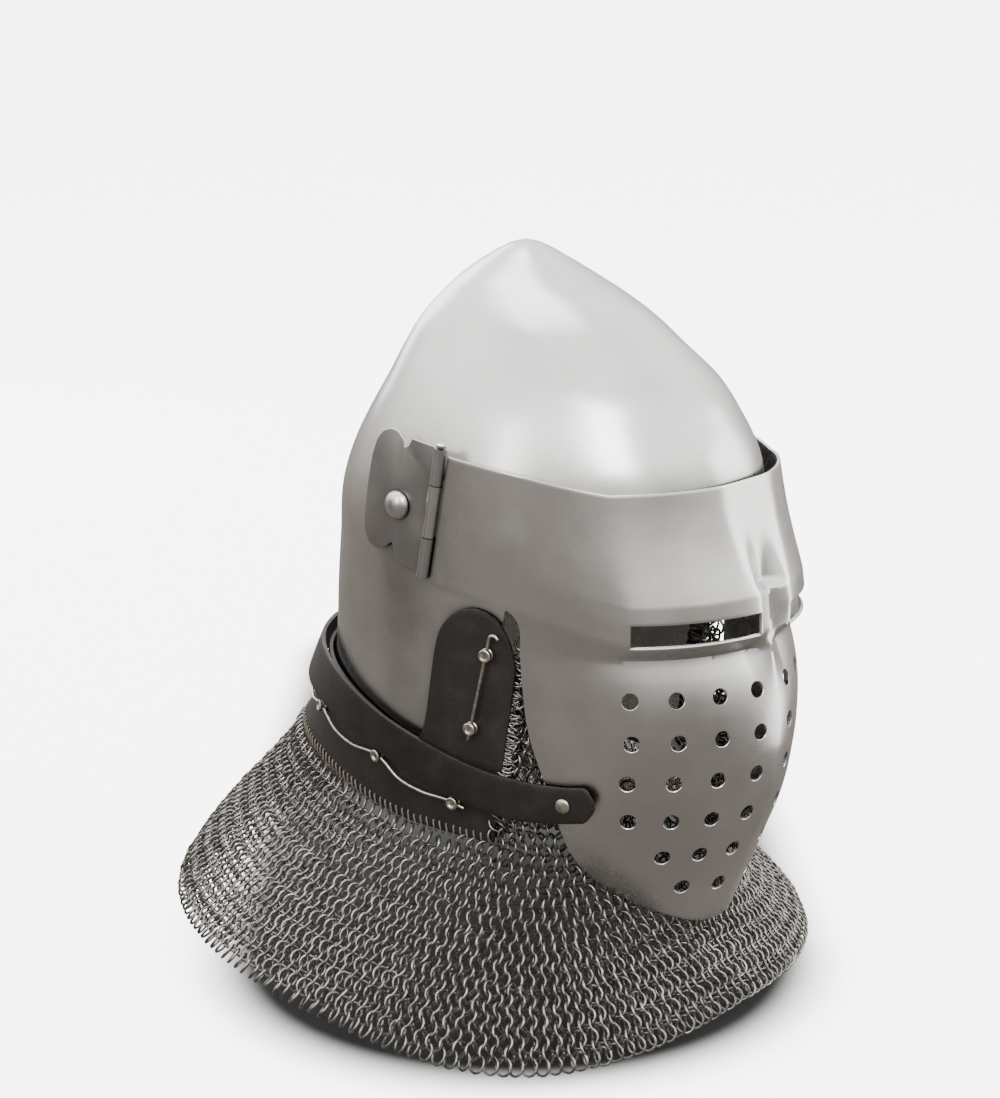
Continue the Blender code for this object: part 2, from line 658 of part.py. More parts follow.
# Hinge plates, their pins, and the rivets they turn on
for side, name in SIDES:
    outer_u = PIN_RADIUS + 3 * FIT
    clear_u = KNUCKLE_RADIUS + 2 * KNUCKLE_GAP
    (upper_low, upper_high), (lower_low, lower_high) = PLATE_KNUCKLES
    edge = list(zip(PLATE_U, PLATE_V))
    low, high = lower_high - KNUCKLE_GAP, upper_low + KNUCKLE_GAP
    edge += [(outer_u, lower_low + KNUCKLE_GAP), (outer_u, low), (clear_u, low)]
    edge += [(clear_u, high), (outer_u, high), (outer_u, upper_high - KNUCKLE_GAP)]
    mesh = bmesh.new()
    slab(mesh, [hinge(side, u, v, PLATE_IN) for u, v in edge], (side * PLATE_WALL, 0, 0))
    plate = add("hinge_plate_" + name, mesh, STEEL)
    mesh = bmesh.new()
    for low, high in PLATE_KNUCKLES:
        rod(mesh, hinge(side, 0, low), hinge(side, 0, high), KNUCKLE_RADIUS, BORE_SIDES)
    cut(plate, add("plate_knuckles_" + name, mesh), "UNION")
    cut(plate, bore_cutter)
    cut(plate, pivot_cutter)

    mesh = bmesh.new()
    low, high = PIN_ENDS
    length = high - low
    profile = ((0, 0), (PIN_RADIUS, 0), (PIN_RADIUS, length - PIN_HEAD))
    profile += ((2 * PIN_RADIUS, length - EDGE), (2 * PIN_RADIUS, length))
    profile += ((PIN_RADIUS, length + EDGE), (0, length + EDGE))
    turned(mesh, hinge(side, 0, low), HINGE_UP, profile, ROD_SIDES)
    add("hinge_pin_" + name, mesh, STEEL)

    mesh = bmesh.new()
    tail = -(PLATE_OUT + PLATE_WALL + SKULL_WALL)
    profile = ((0, tail), (PIVOT_SHANK, tail), (PIVOT_SHANK, REST), (PIVOT_DOME, REST))
    for turn in np.radians(DOME_BANDS):
        profile += ((PIVOT_DOME * np.cos(turn), REST + DOME_RISE * PIVOT_DOME * np.sin(turn)),)
    profile += ((0, REST + DOME_RISE * PIVOT_DOME),)
    turned(mesh, (side * (PLATE_IN + PLATE_WALL), 0, 0), (side, 0, 0), profile, DOME_SIDES)
    add("pivot_rivet_" + name, mesh, STEEL)

# Leather, from the right flap round the back to the left one
shares = np.linspace(0, 1, LEATHER_ROW_COUNT)[:, None]
angle = L_TOP_A + shares * (L_LOW_A - L_TOP_A)
height = L_TOP_Z + shares * (L_LOW_Z - L_TOP_Z)
right = leather_at(angle, height)
left = right[:, -2::-1] * (-1, 1, 1)
grid = np.concatenate([right, left], axis=1)[:, ::-1]
everywhere = np.ones(grid.shape[:2], bool)
leather = sheet("aventail_leather", grid, everywhere, -LEATHER, DARK_LEATHER)


def leather_frame(a, z):
    """Point of the leather's outside, the way out of it, and the way round the helmet."""
    here = leather_at(np.array([a]), np.array([z]))[0]
    ahead = leather_at(np.array([a + 1.0]), np.array([z]))[0] - here
    below = leather_at(np.array([a]), np.array([z - 2 * MM]))[0] - here
    out = np.cross(below, ahead)
    out = out / np.linalg.norm(out)
    if out @ (here * (1, 1, 0)) < 0:
        out = -out
    return here, out, ahead / np.linalg.norm(ahead)


def gap_to_skull(point, out):
    """How far in from this point the skull's outside lies."""
    for depth in np.arange(0, STAND_OFF, SEARCH_STEP):
        x, y, z = point - depth * out
        half = curve(SKULL_Z, SKULL_X, z)
        reach = curve(SKULL_Z, SKULL_Y0 if y < 0 else SKULL_Y1, z)
        power = SKULL_FRONT if y < 0 else SKULL_REAR
        if (abs(x) / half) ** power + (abs(y) / reach) ** power < 1:
            return depth
    return STAND_OFF


EYE = REST + STUD_HEIGHT / 2  # height of a stud's eye over the leather
STRAIGHT = STUD_RADIUS + MM  # stretch of wire that stays straight each side of an eye


def on_leather(a, z, out):
    """Point this far out from the leather, for angles right round the helmet."""
    here, away, _ = leather_frame(a if a <= 180 else 360 - a, z)
    return (here + away * out) * (1 if a <= 180 else -1, 1, 1)


def wire_path(stops, sag):
    """Wire through the eyes of studs at these places, and the way it runs at each eye."""
    eyes = [on_leather(a, z, EYE) for a, z in stops]
    ways = []
    for i in range(len(eyes)):
        before, after = max(i - 1, 0), min(i + 1, len(eyes) - 1)
        a0, z0 = [0.8 * here + 0.2 * there for here, there in zip(stops[i], stops[before])]
        a1, z1 = [0.8 * here + 0.2 * there for here, there in zip(stops[i], stops[after])]
        way = on_leather(a1, z1, EYE) - on_leather(a0, z0, EYE)
        ways.append(way / np.linalg.norm(way))
    path = [eyes[0] - ways[0] * STRAIGHT * 1.6]
    for i, (eye, way) in enumerate(zip(eyes, ways)):
        path += [eye - way * STRAIGHT, eye, eye + way * STRAIGHT]
        if i + 1 < len(eyes):
            for share in (0.3, 0.5, 0.7):
                a, z = (1 - share) * np.array(stops[i]) + share * np.array(stops[i + 1])
                path.append(on_leather(a, z - sag * np.sin(np.pi * share), EYE))
    path.append(eyes[-1] + ways[-1] * STRAIGHT * 1.6)
    return path, ways


right_stops = list(zip(RIM_A, RIM_Z))
rim_stops = right_stops + [(360 - a, z) for a, z in right_stops[::-1]]
rim, rim_ways = wire_path(rim_stops, WIRE_SAG)
swept("rim_wire", rim, WIRE_RADIUS, WIRE_SIDES, STUD_METAL)
cheek, cheek_ways = wire_path(list(zip(CHEEK_A, CHEEK_Z)), 0)
for side, name in SIDES:
    points = [point * (-side, 1, 1) for point in cheek]
    swept("cheek_wire_" + name, points, WIRE_RADIUS, WIRE_SIDES, STUD_METAL)

holes = bmesh.new()
number = 0
studs = list(zip(RIM_A, RIM_Z, rim_ways)) + list(zip(CHEEK_A, CHEEK_Z, cheek_ways))
for a, z, way in studs:
    for side, _ in SIDES:
        number += 1
        flip = np.array([-side, 1, 1])
        here, away, _ = leather_frame(a, z)
        shank = gap_to_skull(here, away) - LINING
        top = REST + STUD_HEIGHT
        mesh = bmesh.new()
        profile = ((0, -shank), (STUD_SHANK, -shank), (STUD_SHANK, REST), (STUD_RADIUS, REST))
        profile += ((STUD_RADIUS, top), (0.55 * STUD_RADIUS, top))
        profile += ((0.5 * STUD_RADIUS, top - STUD_DIMPLE), (0, top - STUD_DIMPLE))
        turned(mesh, here * flip, away * flip, profile, ROD_SIDES)
        stud = add(f"vervelle_{number:02d}", mesh, STUD_METAL)
        low, high = (here - 2 * away * LEATHER) * flip, (here + away * LEATHER) * flip
        rod(holes, low, high, hole(STUD_SHANK, STUD_HOLE_SIDES), STUD_HOLE_SIDES)
        eye, along = (here + away * EYE) * flip, way * flip
        mesh = bmesh.new()
        low, high = eye - along * 3 * STUD_RADIUS, eye + along * 3 * STUD_RADIUS
        rod(mesh, low, high, hole(WIRE_RADIUS, STUD_HOLE_SIDES), STUD_HOLE_SIDES)
        cut(stud, add(f"eye_cutter_{number:02d}", mesh))
cut(leather, add("leather_cutter", holes))

# Strap, from its right end round the nape to its left end
along = np.stack([-S_X, S_Y], -1)
along = np.concatenate([along, along[-2::-1] * (-1, 1)])
middle, wide, lean = [np.concatenate([col, col[-2::-1]]) for col in (S_Z, S_WIDE, S_LEAN)]
tangent = np.gradient(along, axis=0)
normal = np.stack([-tangent[:, 1], tangent[:, 0]], -1)
normal = normal / np.linalg.norm(normal, axis=1)[:, None]
outward = np.sign((normal * along).sum(axis=1))
outward[outward == 0] = 1
normal = normal * outward[:, None]
rows = []
for share in (0.5, 0.0, -0.5):
    flat = along - normal * (lean * share)[:, None]
    rows.append(np.concatenate([flat, (middle + wide * share)[:, None]], axis=1))
grid = np.array(rows)[:, ::-1]
strap = sheet("strap", grid, np.ones(grid.shape[:2], bool), STRAP, DARK_LEATHER)
holes = bmesh.new()
for side, name in SIDES:
    at = np.array([-along[TAB_INDEX][0] * side, along[TAB_INDEX][1], middle[TAB_INDEX]])
    away = np.array([-normal[TAB_INDEX][0] * side, normal[TAB_INDEX][1], 0])
    mesh = bmesh.new()
    under = STRAP + FIT
    profile = ((0, TAB_TAIL), (TAB_RIVET / 2, TAB_TAIL), (TAB_RIVET / 2, under), (TAB_RIVET, under))
    profile += ((TAB_RIVET, under + 0.6 * EDGE), (0.8 * TAB_RIVET, under + EDGE), (0, under + EDGE))
    turned(mesh, at, away, profile, BORE_SIDES)
    add("strap_rivet_" + name, mesh, STUD_METAL)
    rod(holes, at - away * STRAP, at + 3 * away * STRAP, hole(TAB_RIVET / 2, ROD_SIDES), ROD_SIDES)
cut(strap, add("strap_cutter", holes))

# Mail
step = 360 / MAIL_COLUMN_COUNT
angles = np.arange(0, 180 + step / 2, step)
rings = []
edge_z = curve(L_LOW_A, L_LOW_Z, angles) - HANG
top = leather_at(angles, edge_z, FIT)
for i in range(len(B_Z)):
    share = np.clip(angles / (BIB_COLUMN_COUNT * step), 0, 1)
    x, y = outline(share * B_EDGE[i], B_X[i], B_Y[i], B_Y[i], (VISOR_SIDE, VISOR_FRONT, VISOR_FRONT))
    z = B_Z[i] + B_RISE[i] * share**2
    row = np.stack([x, y, z], -1)
    row[BIB_COLUMN_COUNT + 1:] = top[BIB_COLUMN_COUNT + 1:]
    rings.append(row)
for i in range(len(M_X)):
    x, y = outline(angles, M_X[i], M_Y0[i], M_Y1[i], (MAIL_SIDE, MAIL_FRONT, MAIL_REAR))
    heights = np.array([M_ZF[i], M_ZD[i], M_ZS[i], M_ZB[i]])
    rings.append(np.stack([x, y, curve(np.array(MAIL_STOPS, float), heights, angles)], -1))
right = np.array(rings)
left = right[:, -2:0:-1] * (-1, 1, 1)
grid = np.concatenate([right, left], axis=1)[:, ::-1]
columns = grid.shape[1]
kept = np.ones((len(grid) - 1, columns), bool)
for i in range(len(B_Z) - 1):
    for j in range(columns):
        position = (columns - 2 - j) % columns
        kept[i, j] = position < BIB_COLUMN_COUNT or position >= columns - BIB_COLUMN_COUNT
sheet("mail_aventail", grid, kept, -MAIL, RING_STEEL, ring=True)
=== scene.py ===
"""Looks of a visored bascinet helmet with its mail cape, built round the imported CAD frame.

Origin and axes are the frame's: the pivot axis is at the origin, +X is the wearer's left, the face
looks along -Y and +Z is up. Lengths in the tables are in millimetres.
"""

import bmesh
import bpy
import numpy as np
from bpy.props import FloatProperty, FloatVectorProperty, IntProperty, PointerProperty
from mathutils import Matrix, Vector


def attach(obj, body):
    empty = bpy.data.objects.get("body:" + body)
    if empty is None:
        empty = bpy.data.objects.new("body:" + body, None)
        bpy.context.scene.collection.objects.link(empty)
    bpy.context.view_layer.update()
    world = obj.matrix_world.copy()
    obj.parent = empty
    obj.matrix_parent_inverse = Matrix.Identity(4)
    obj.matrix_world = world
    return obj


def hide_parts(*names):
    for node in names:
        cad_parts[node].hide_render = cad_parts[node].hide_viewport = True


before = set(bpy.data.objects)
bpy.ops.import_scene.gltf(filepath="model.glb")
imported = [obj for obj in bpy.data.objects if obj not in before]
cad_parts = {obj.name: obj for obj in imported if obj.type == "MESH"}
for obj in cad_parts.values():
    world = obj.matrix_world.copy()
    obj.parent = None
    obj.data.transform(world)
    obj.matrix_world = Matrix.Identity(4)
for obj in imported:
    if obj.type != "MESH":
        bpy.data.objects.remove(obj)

bl_info = {
    "name": "Visored bascinet",
    "version": (1, 0, 0),
    "blender": (4, 5, 0),
    "location": "3D View > Sidebar > Bascinet",
    "description": "Builds the steel, leather and mail of a visored bascinet round its frame",
    "category": "Object",
}

MM = 0.001
HELMET, VISOR = "helmet", "visor"
SIDES = ((-1, "right"), (1, "left"))

# Skull from its point down: height, half width, front, back, middle
SKULL = np.array((
    (130.5, 0.3, 5.3, -4.7, -5), (129, 7, 11, 1.5, -5), (126.5, 13.5, 16.5, 7, -5),
    (122, 22, 24, 14.5, -4), (113, 37, 39, 26.5, -3), (103, 48, 59, 37, -2), (90, 60, 80, 48, -1),
    (77, 69, 96.5, 55, 0), (61, 79, 117, 62.5, 0), (42, 88.5, 131, 74, 0), (25, 94.5, 140.5, 84, 0),
    (0, 99.5, 146, 94, 0), (-30, 99.8, 147, 97.5, 0), (-60, 99, 147, 101.5, 0),
    (-80, 98, 147, 103.5, 0), (-120, 96, 147, 109, 0), (-150, 94, 147, 114, 0),
    (-190, 91, 147, 121, 0),
)).T * MM
RIM_HEIGHT, RIM_SLOPE = -162.6 * MM, 0.25
SKULL_FRONT, SKULL_REAR = 2.2, 2.0
# Face opening, seen from the side: forward, height
FACE = ((54, -215), (60, -62), (62.5, -50), (69, -39), (79, -31), (95, -28), (175, -28),
        (175, -215))

# Visor from its top edge down: height in the middle, at the corner, at the wing's end, corner from
# the middle, half width of the plan curve, reach in the middle, at the box, at the cheek, groove
VISOR_TABLE = np.array((
    (16, 24.6, 29.5, 98.6, 103, 149.3, 151, 149, 28),
    (0, 10, 12, 98.6, 103, 151.7, 154.5, 152, 26),
    (-18, -6, -4, 98.6, 103, 155.5, 160, 155, 22),
    (-36, -22, -18, 98.6, 103, 158, 167, 157, 17),
    (-40, -26, -21, 98.6, 103, 163, 168.5, 157.5, 14),
    (-48.8, -33, -28, 98.6, 103, 163.7, 170, 158.5, 14),
    (-61, -46, -38, 98.6, 103, 165, 170, 160, 14),
    (-70, -67, 0, 97.5, 101.4, 166.5, 160, 161, 14),
    (-90, -88, 0, 96.5, 100.1, 170, 168, 166, 45),
    (-112.5, -112, 0, 94, 97.6, 173, 170, 168, 45),
    (-135.5, -134, 0, 89, 93.6, 171, 168, 166, 45),
    (-158.5, -155, 0, 84, 89.7, 166, 164, 163, 45),
    (-180, -180, 0, 77, 85.2, 157.5, 154, 153, 45),
    (-201, -195, 0, 66, 78.9, 149.5, 147, 146, 45),
    (-227, -207, 0, 52, 76.5, 138, 137.5, 137, 45),
)).T * MM
SLIT_TOP, SLIT_BOTTOM, UNDERCUT, CHIN = 5, 6, 7, 14
VISOR_SIDE, VISOR_FRONT = 1.8, 3.6
SLIT_IN, SLIT_OUT, VISOR_EDGE = 14 * MM, 78 * MM, 98.6 * MM
BOX_MITRE, WING_CORNER = 14 * MM, 75 * MM
# Breaths: row of the visor's table, holes on each side, pitch
BREATHS = ((8, 4, 24.3), (9, 4, 24.3), (10, 4, 24.3), (11, 4, 22.6), (12, 3, 21.0), (13, 2, 23.0))
BREATH_FIRST = 14.5 * MM
# Rows whose groove is a soft hollow, and the cut behind the cheek: its reach and corner radius
SOFT_ROWS, CUT_REACH, CUT_CORNER = 4, 35 * MM, 13 * MM

# Hinges: lean of their line, its distance behind the face, and the plate's outline
HINGE_LEAN, HINGE_BACK, HINGE_X = np.radians(10.5), 23.7 * MM, 103.2 * MM
PLATE_IN, PLATE_OUT = 100.4 * MM, 102.4 * MM
PLATE = (
    (20, 33.2), (21.8, 28.5), (24, 27.2), (26, 31.5), (29.5, 34.3), (34.5, 34.6), (39.5, 32),
    (43, 26.5), (45, 17), (45.5, 0), (45, -17), (43, -26), (39, -31), (33.5, -32.3), (28.5, -29.8),
    (24.3, -25), (20, -35.3),
)
KNUCKLE, KNUCKLE_GAP, VISOR_KNUCKLE = 3.6 * MM, 0.5 * MM, 14 * MM
PLATE_KNUCKLES = ((14.5 * MM, 34 * MM), (-36 * MM, -14.5 * MM))
PIN, PIN_ENDS = 1.3 * MM, (-37 * MM, 35.9 * MM)
PIVOT_HOLE, BORE_REACH = 3.4 * MM, 0.07

# Leather: degrees from the middle of the face and height of its top edge, then of its lower edge
LEATHER_EDGES = np.array((
    (64.7, -80, 71.3, -178.3), (65.4, -68, 72.5, -178.3), (67.2, -58, 74, -178.2),
    (70.2, -51.5, 76, -178), (74, -49, 79, -177.8), (78, -52, 82, -177.4), (81.3, -61, 84.5, -177),
    (83, -74, 86.5, -176.8), (86.3, -127.5, 89.5, -176.3), (90, -125.6, 93, -175.3),
    (95, -122, 98, -173.6), (102, -117, 104, -171.4), (109, -112.5, 110, -168.9),
    (116, -108.5, 117, -165.8), (123, -105, 124, -162.6), (131, -102, 131, -159.7),
    (139, -99.7, 139, -156.8), (147, -98, 147, -154), (155, -97, 155, -152),
    (163, -96.3, 163, -151), (171.5, -96, 171.5, -150.3), (180, -96, 180, -150),
)).T
FLARE = np.array((
    (-180, 146), (-150, 138), (-130, 125), (-114, 116.5), (-102, 111.8), (-85, 106.5), (-40, 103.5),
)).T * MM
FLARE_SHARE = ((90, 115, 135, 150, 180), (0, 0.35, 0.8, 1, 1))
LEATHER_OUT = 3 * MM

# Studs: degrees from the middle of the face, height
RIM_STUDS = ((79.5, -158), (99.5, -142), (129.5, -131), (157, -126))
CHEEK_STUDS = ((70.75, -72.5), (74.75, -114))
STUD_REST, STUD_HEIGHT, STUD_RADIUS, STUD_SHANK = 0.4 * MM, 4.6 * MM, 3.5 * MM, 1.6 * MM
WIRE, WIRE_SAG = 0.9 * MM, 4 * MM

# Strap from its end to the nape: out, along, height of its middle, width, lean of its lower edge
STRAP_TABLE = np.array((
    (82.8, -112.5, -146.2, 18.8, 0), (83, -111, -146.4, 18.8, 0), (83.5, -107.5, -146.8, 18.8, 0),
    (84.5, -103, -147.4, 18.8, 0), (85.8, -97.5, -148.4, 19, 0), (88.8, -84, -149.5, 20.5, -0.3),
    (92, -70, -149.5, 22, -0.5), (95.4, -55, -148, 22.3, -0.7), (97.7, -38, -144.3, 22.3, -1),
    (99, -20, -139.6, 22.3, -1), (99.8, 0, -133.4, 22, -1), (99.3, 20, -126.8, 22, 0),
    (95.3, 44, -118, 22.6, 2), (86, 67.5, -110.8, 23.2, 5), (70, 89.5, -105.5, 24, 8),
    (48, 104.5, -102.8, 24, 10), (24.5, 113, -102, 24, 11), (0, 116, -102, 24, 11.5),
)).T * MM

# Place of the right strap rivet, seen from above
STRAP_RIVET = (-85.8 * MM, -97.5 * MM)

# Mail from the leather down: heights at the front, slanting front, side and back, half width,
# front, back. Then its bib: height, rise of its sides, half width, reach, degrees to its sides
MAIL = (
    (-236, -212, -190, -163, 104, 130, 150), (-243, -228, -207, -183, 119, 134, 168),
    (-250, -244, -222, -203, 140, 142, 186), (-258, -257, -236, -221, 162, 149, 199),
    (-266, -269, -247, -235, 176, 154, 206), (-271, -276, -252, -246, 182, 156, 208),
)
# A ring is kept where this much room is left for it
RING_ROOM = 3.6 * MM
# Degrees from the middle of the face: the bib's end, and where each of MAIL's four heights holds
BIB_END, MAIL_STOPS = 72, (0.0, 50, 95, 180)
BIB = ((-165, 107, 95, 120, 67.1), (-181, 74, 94.5, 119, 69.2), (-198, 47, 93.5, 119, 73),
       (-216, 36, 92.5, 124, 75.5))


# Stage, in metres: the floor's height and where it starts to rise, the way from the camera to the
# helmet along the floor, the painted shade's length and its soft edge, the strength of the floor's
# own light and of the sky's, and the camera
FLOOR_Z, FLOOR_FLAT = -0.2835, 3
AWAY = (0.788, 0.6157, 0.0)
SHADE_LENGTH, SHADE_FROM, SHADE_TO = 0.6, 0.15, 0.2
FLOOR_GLOW, AIR_STRENGTH = 4.5, 3.2
CAMERA_AT, LENS, SENSOR = (-0.9716, -0.7466, 0.2510), 81, 36
CAMERA_RIGHT, CAMERA_UP = (0.6157, -0.788, 0), (0.1839, 0.1437, 0.9724)


def linear(code):
    """Linear colour of an sRGB hex code."""
    shares = [int(code[i:i + 2], 16) / 255 for i in (1, 3, 5)]
    return tuple(c / 12.92 if c <= 0.04045 else ((c + 0.055) / 1.055) ** 2.4 for c in shares)


class BascinetSizes(bpy.types.PropertyGroup):
    skull_wall: FloatProperty(
        name="Skull wall", description="Thickness of the skull's steel", default=0.002,
        unit="LENGTH")
    visor_wall: FloatProperty(
        name="Visor wall", description="Thickness of the visor's steel", default=0.0018,
        unit="LENGTH")
    leather: FloatProperty(
        name="Leather", description="Thickness of the leather band", default=0.002, unit="LENGTH")
    strap: FloatProperty(
        name="Strap", description="Thickness of the strap", default=0.0022, unit="LENGTH")
    breath: FloatProperty(
        name="Breath", description="Radius of a breathing hole", default=0.00425, unit="LENGTH")
    ring: FloatProperty(
        name="Mail ring", description="Radius of a ring, to the middle of its wire",
        default=0.0047, unit="LENGTH")
    ring_wire: FloatProperty(
        name="Ring wire", description="Radius of the rings' wire", default=0.00075, unit="LENGTH")
    row_pitch: FloatProperty(
        name="Row pitch", description="From one row of rings to the next", default=0.006,
        unit="LENGTH")
    stitch_pitch: FloatProperty(
        name="Stitch pitch", description="From one stitch of the leather's edge to the next",
        default=0.0043, unit="LENGTH")
    seed: IntProperty(name="Seed", description="Picks how the rings lie", default=7)


class BascinetColours(bpy.types.PropertyGroup):
    steel: FloatVectorProperty(
        name="Steel", description="Polished plate", subtype="COLOR", size=3,
        default=linear("#C9C8C5"))
    leather: FloatVectorProperty(
        name="Leather", description="Grain side of the band", subtype="COLOR", size=3,
        default=linear("#1B1715"))
    strap: FloatVectorProperty(
        name="Strap", description="Grain side of the strap", subtype="COLOR", size=3,
        default=linear("#181412"))
    thread: FloatVectorProperty(
        name="Thread", description="Waxed thread of the stitches", subtype="COLOR", size=3,
        default=linear("#6E655B"))
    stud: FloatVectorProperty(
        name="Studs", description="Studs, wires and strap rivets", subtype="COLOR", size=3,
        default=linear("#C2BCB0"))
    ring: FloatVectorProperty(
        name="Rings", description="Mail rings", subtype="COLOR", size=3, default=linear("#93908B"))
    floor: FloatVectorProperty(
        name="Floor", description="Floor and backdrop", subtype="COLOR", size=3,
        default=linear("#F4F3F1"))


def sizes():
    return bpy.context.scene.bascinet_sizes


def colours():
    return bpy.context.scene.bascinet_colours


# Shapes shared by the pieces


def curve(xs, ys, at):
    """Smooth line through points whose xs may run up or down."""
    order = np.argsort(xs)
    xs, ys = np.asarray(xs, float)[order], np.asarray(ys, float)[order]
    slopes = np.gradient(ys, xs)
    at = np.clip(at, xs[0], xs[-1])
    i = np.clip(np.searchsorted(xs, at) - 1, 0, len(xs) - 2)
    step = xs[i + 1] - xs[i]
    t = (at - xs[i]) / step
    rise = ys[i] * (1 + 2 * t) * (1 - t) ** 2 + ys[i + 1] * t * t * (3 - 2 * t)
    return rise + step * (slopes[i] * t * (1 - t) ** 2 - slopes[i + 1] * t * t * (1 - t))


def eased(values, at, width):
    """Rows of values read at fractional places, averaged over width to each side of the place."""
    values = np.asarray(values, float)
    at = np.asarray(at, float)
    width = np.minimum(np.minimum(width, at), len(values) - 1 - at)
    total = 0
    for offset in np.linspace(-1, 1, 9):
        here = np.clip(at + offset * width, 0, len(values) - 1)
        i = np.minimum(here.astype(int), len(values) - 2)
        share = (here - i).reshape(here.shape + (1,) * (values.ndim - 1))
        total = total + values[i] * (1 - share) + values[i + 1] * share
    return total / 9


def outline(angle, half, front, back, powers):
    """Plan curve at angles in degrees from the middle of the face, towards the right side."""
    side, front_power, rear_power = powers
    a = np.radians(angle)
    s, c = np.sin(a), np.cos(a)
    x = -half * np.sign(s) * np.abs(s) ** (2 / side)
    ahead = -front * np.abs(c) ** (2 / front_power)
    behind = back * np.abs(c) ** (2 / rear_power)
    return x, np.where(c > 0, ahead, behind)


def skull_at(angle, z):
    """Point of the skull's outside."""
    half, front, back, middle = [curve(SKULL[0], column, z) for column in SKULL[1:]]
    power = np.where(np.cos(np.radians(angle)) > 0, SKULL_FRONT, SKULL_REAR)
    x, y = outline(angle, half, front + middle, back - middle, (power, SKULL_FRONT, SKULL_REAR))
    return np.stack([x, y + middle, z + 0 * x], -1)


def leather_at(angle, z, out=0.0):
    """Point of the leather's outside. At the back it stands off the skull."""
    close = LEATHER_OUT + out
    half, front, back = [curve(SKULL[0], column, z) + close for column in SKULL[1:4]]
    flare = np.maximum(curve(FLARE[0], FLARE[1], z) + out - back, 0)
    back = back + flare * np.interp(angle, *FLARE_SHARE)
    power = np.where(np.cos(np.radians(angle)) > 0, SKULL_FRONT, SKULL_REAR)
    x, y = outline(angle, half, front, back, (power, SKULL_FRONT, SKULL_REAR))
    return np.stack([x, y, z + 0 * x], -1)


def hinge(side, u, v, x=HINGE_X):
    """Point behind the hinge line by u and along it by v."""
    lean_s, lean_c = np.sin(HINGE_LEAN), np.cos(HINGE_LEAN)
    return Vector((side * x, -HINGE_BACK + u * lean_c - v * lean_s, u * lean_s + v * lean_c))


def visor_columns(at):
    """Points of the right half of the visor on each row of its table. at is the distance from the
    middle, and past VISOR_EDGE the share of the wing is added to it."""
    found = []
    for row, values in enumerate(VISOR_TABLE.T):
        mid, end, wing_z, edge, half, nose, box, cheek, groove = values
        x = np.minimum(at, VISOR_EDGE)
        stretched = SLIT_IN + (x - SLIT_IN) * (edge - SLIT_IN) / (VISOR_EDGE - SLIT_IN)
        x = np.where(x > SLIT_IN, stretched, x) if row <= UNDERCUT else x * edge / VISOR_EDGE

        def ahead(x):
            reach = 0
            for d in (-0.8 * MM, -0.4 * MM, 0, 0.4 * MM, 0.8 * MM):
                near = np.abs(x + d)
                climb = np.clip(near / groove, 0, 1)
                if row < SOFT_ROWS:
                    climb = climb ** 2 * (3 - 2 * climb)
                r = nose + (box - nose) * climb
                share = np.clip((near - SLIT_OUT) / BOX_MITRE, 0, 1)
                reach = reach + (r + (cheek - box) * share) / 5
            return -reach * (1 - (x / half) ** VISOR_SIDE) ** (1 / VISOR_FRONT)

        y = ahead(x)
        if row <= SLIT_BOTTOM:
            at_end = ahead(np.array([SLIT_OUT]))[0]
            share = np.clip((y - at_end) / (-WING_CORNER - at_end), 0, 1)
            share = np.where(x <= SLIT_OUT, 0, share)
        else:
            share = (x / edge) ** 2
        points = np.stack([-x, y, mid + (end - mid) * share], -1)
        out = at > VISOR_EDGE
        if out.any():
            share = (at[out] - VISOR_EDGE)[:, None]
            corner = np.array([-edge, ahead(np.array([edge]))[0], end])
            end_y = -HINGE_BACK - np.tan(HINGE_LEAN) * wing_z - KNUCKLE - 2 * KNUCKLE_GAP
            if row > SLIT_BOTTOM:
                end_y, wing_z = corner[1] + CUT_REACH, end
            line = corner + share * (np.array([-edge, end_y, wing_z]) - corner)
            bow = 1 - (-line[:, 1] / cheek).clip(0) ** VISOR_FRONT
            line[:, 0] = -half * bow ** (1 / VISOR_SIDE)
            points[out] = line
        found.append(points)
    return np.array(found)


# How far the visor's rows are blended into each other: place among the rows, reach
ROUNDED = ((0, 0.5, 2.3, 2.9, 7.1, 7.6, 13.5, 14), (0, 0.5, 0.5, 0.07, 0.07, 0.5, 0.5, 0))


def visor_surface(at, rows):
    """Points of the visor's outside for columns at and fractional rows: rows x columns x 3."""
    return eased(visor_columns(at), rows, np.interp(rows, *ROUNDED))


# Mesh tools


def grid_mesh(across, down, place, kept=None):
    """Grid of faces whose points lie where place(across, down) puts them, with both whole numbers.
    kept says which cells stay."""
    mesh = bmesh.new()
    bmesh.ops.create_grid(mesh, x_segments=across, y_segments=down, size=0.5)
    at = np.array([v.co for v in mesh.verts])
    u = np.rint((at[:, 0] - at[:, 0].min()) / np.ptp(at[:, 0]) * across).astype(int)
    v = np.rint((at[:, 1].max() - at[:, 1]) / np.ptp(at[:, 1]) * down).astype(int)
    if kept is not None:
        middles = np.array([f.calc_center_median() for f in mesh.faces])
        i = ((middles[:, 0] - at[:, 0].min()) / np.ptp(at[:, 0]) * across).astype(int)
        j = ((at[:, 1].max() - middles[:, 1]) / np.ptp(at[:, 1]) * down).astype(int)
    for vert, point in zip(mesh.verts, place(u, v)):
        vert.co = point
    if kept is not None:
        gone = [f for f, a, b in zip(list(mesh.faces), i, j) if not kept[b, a]]
        bmesh.ops.delete(mesh, geom=gone, context="FACES")
    return mesh


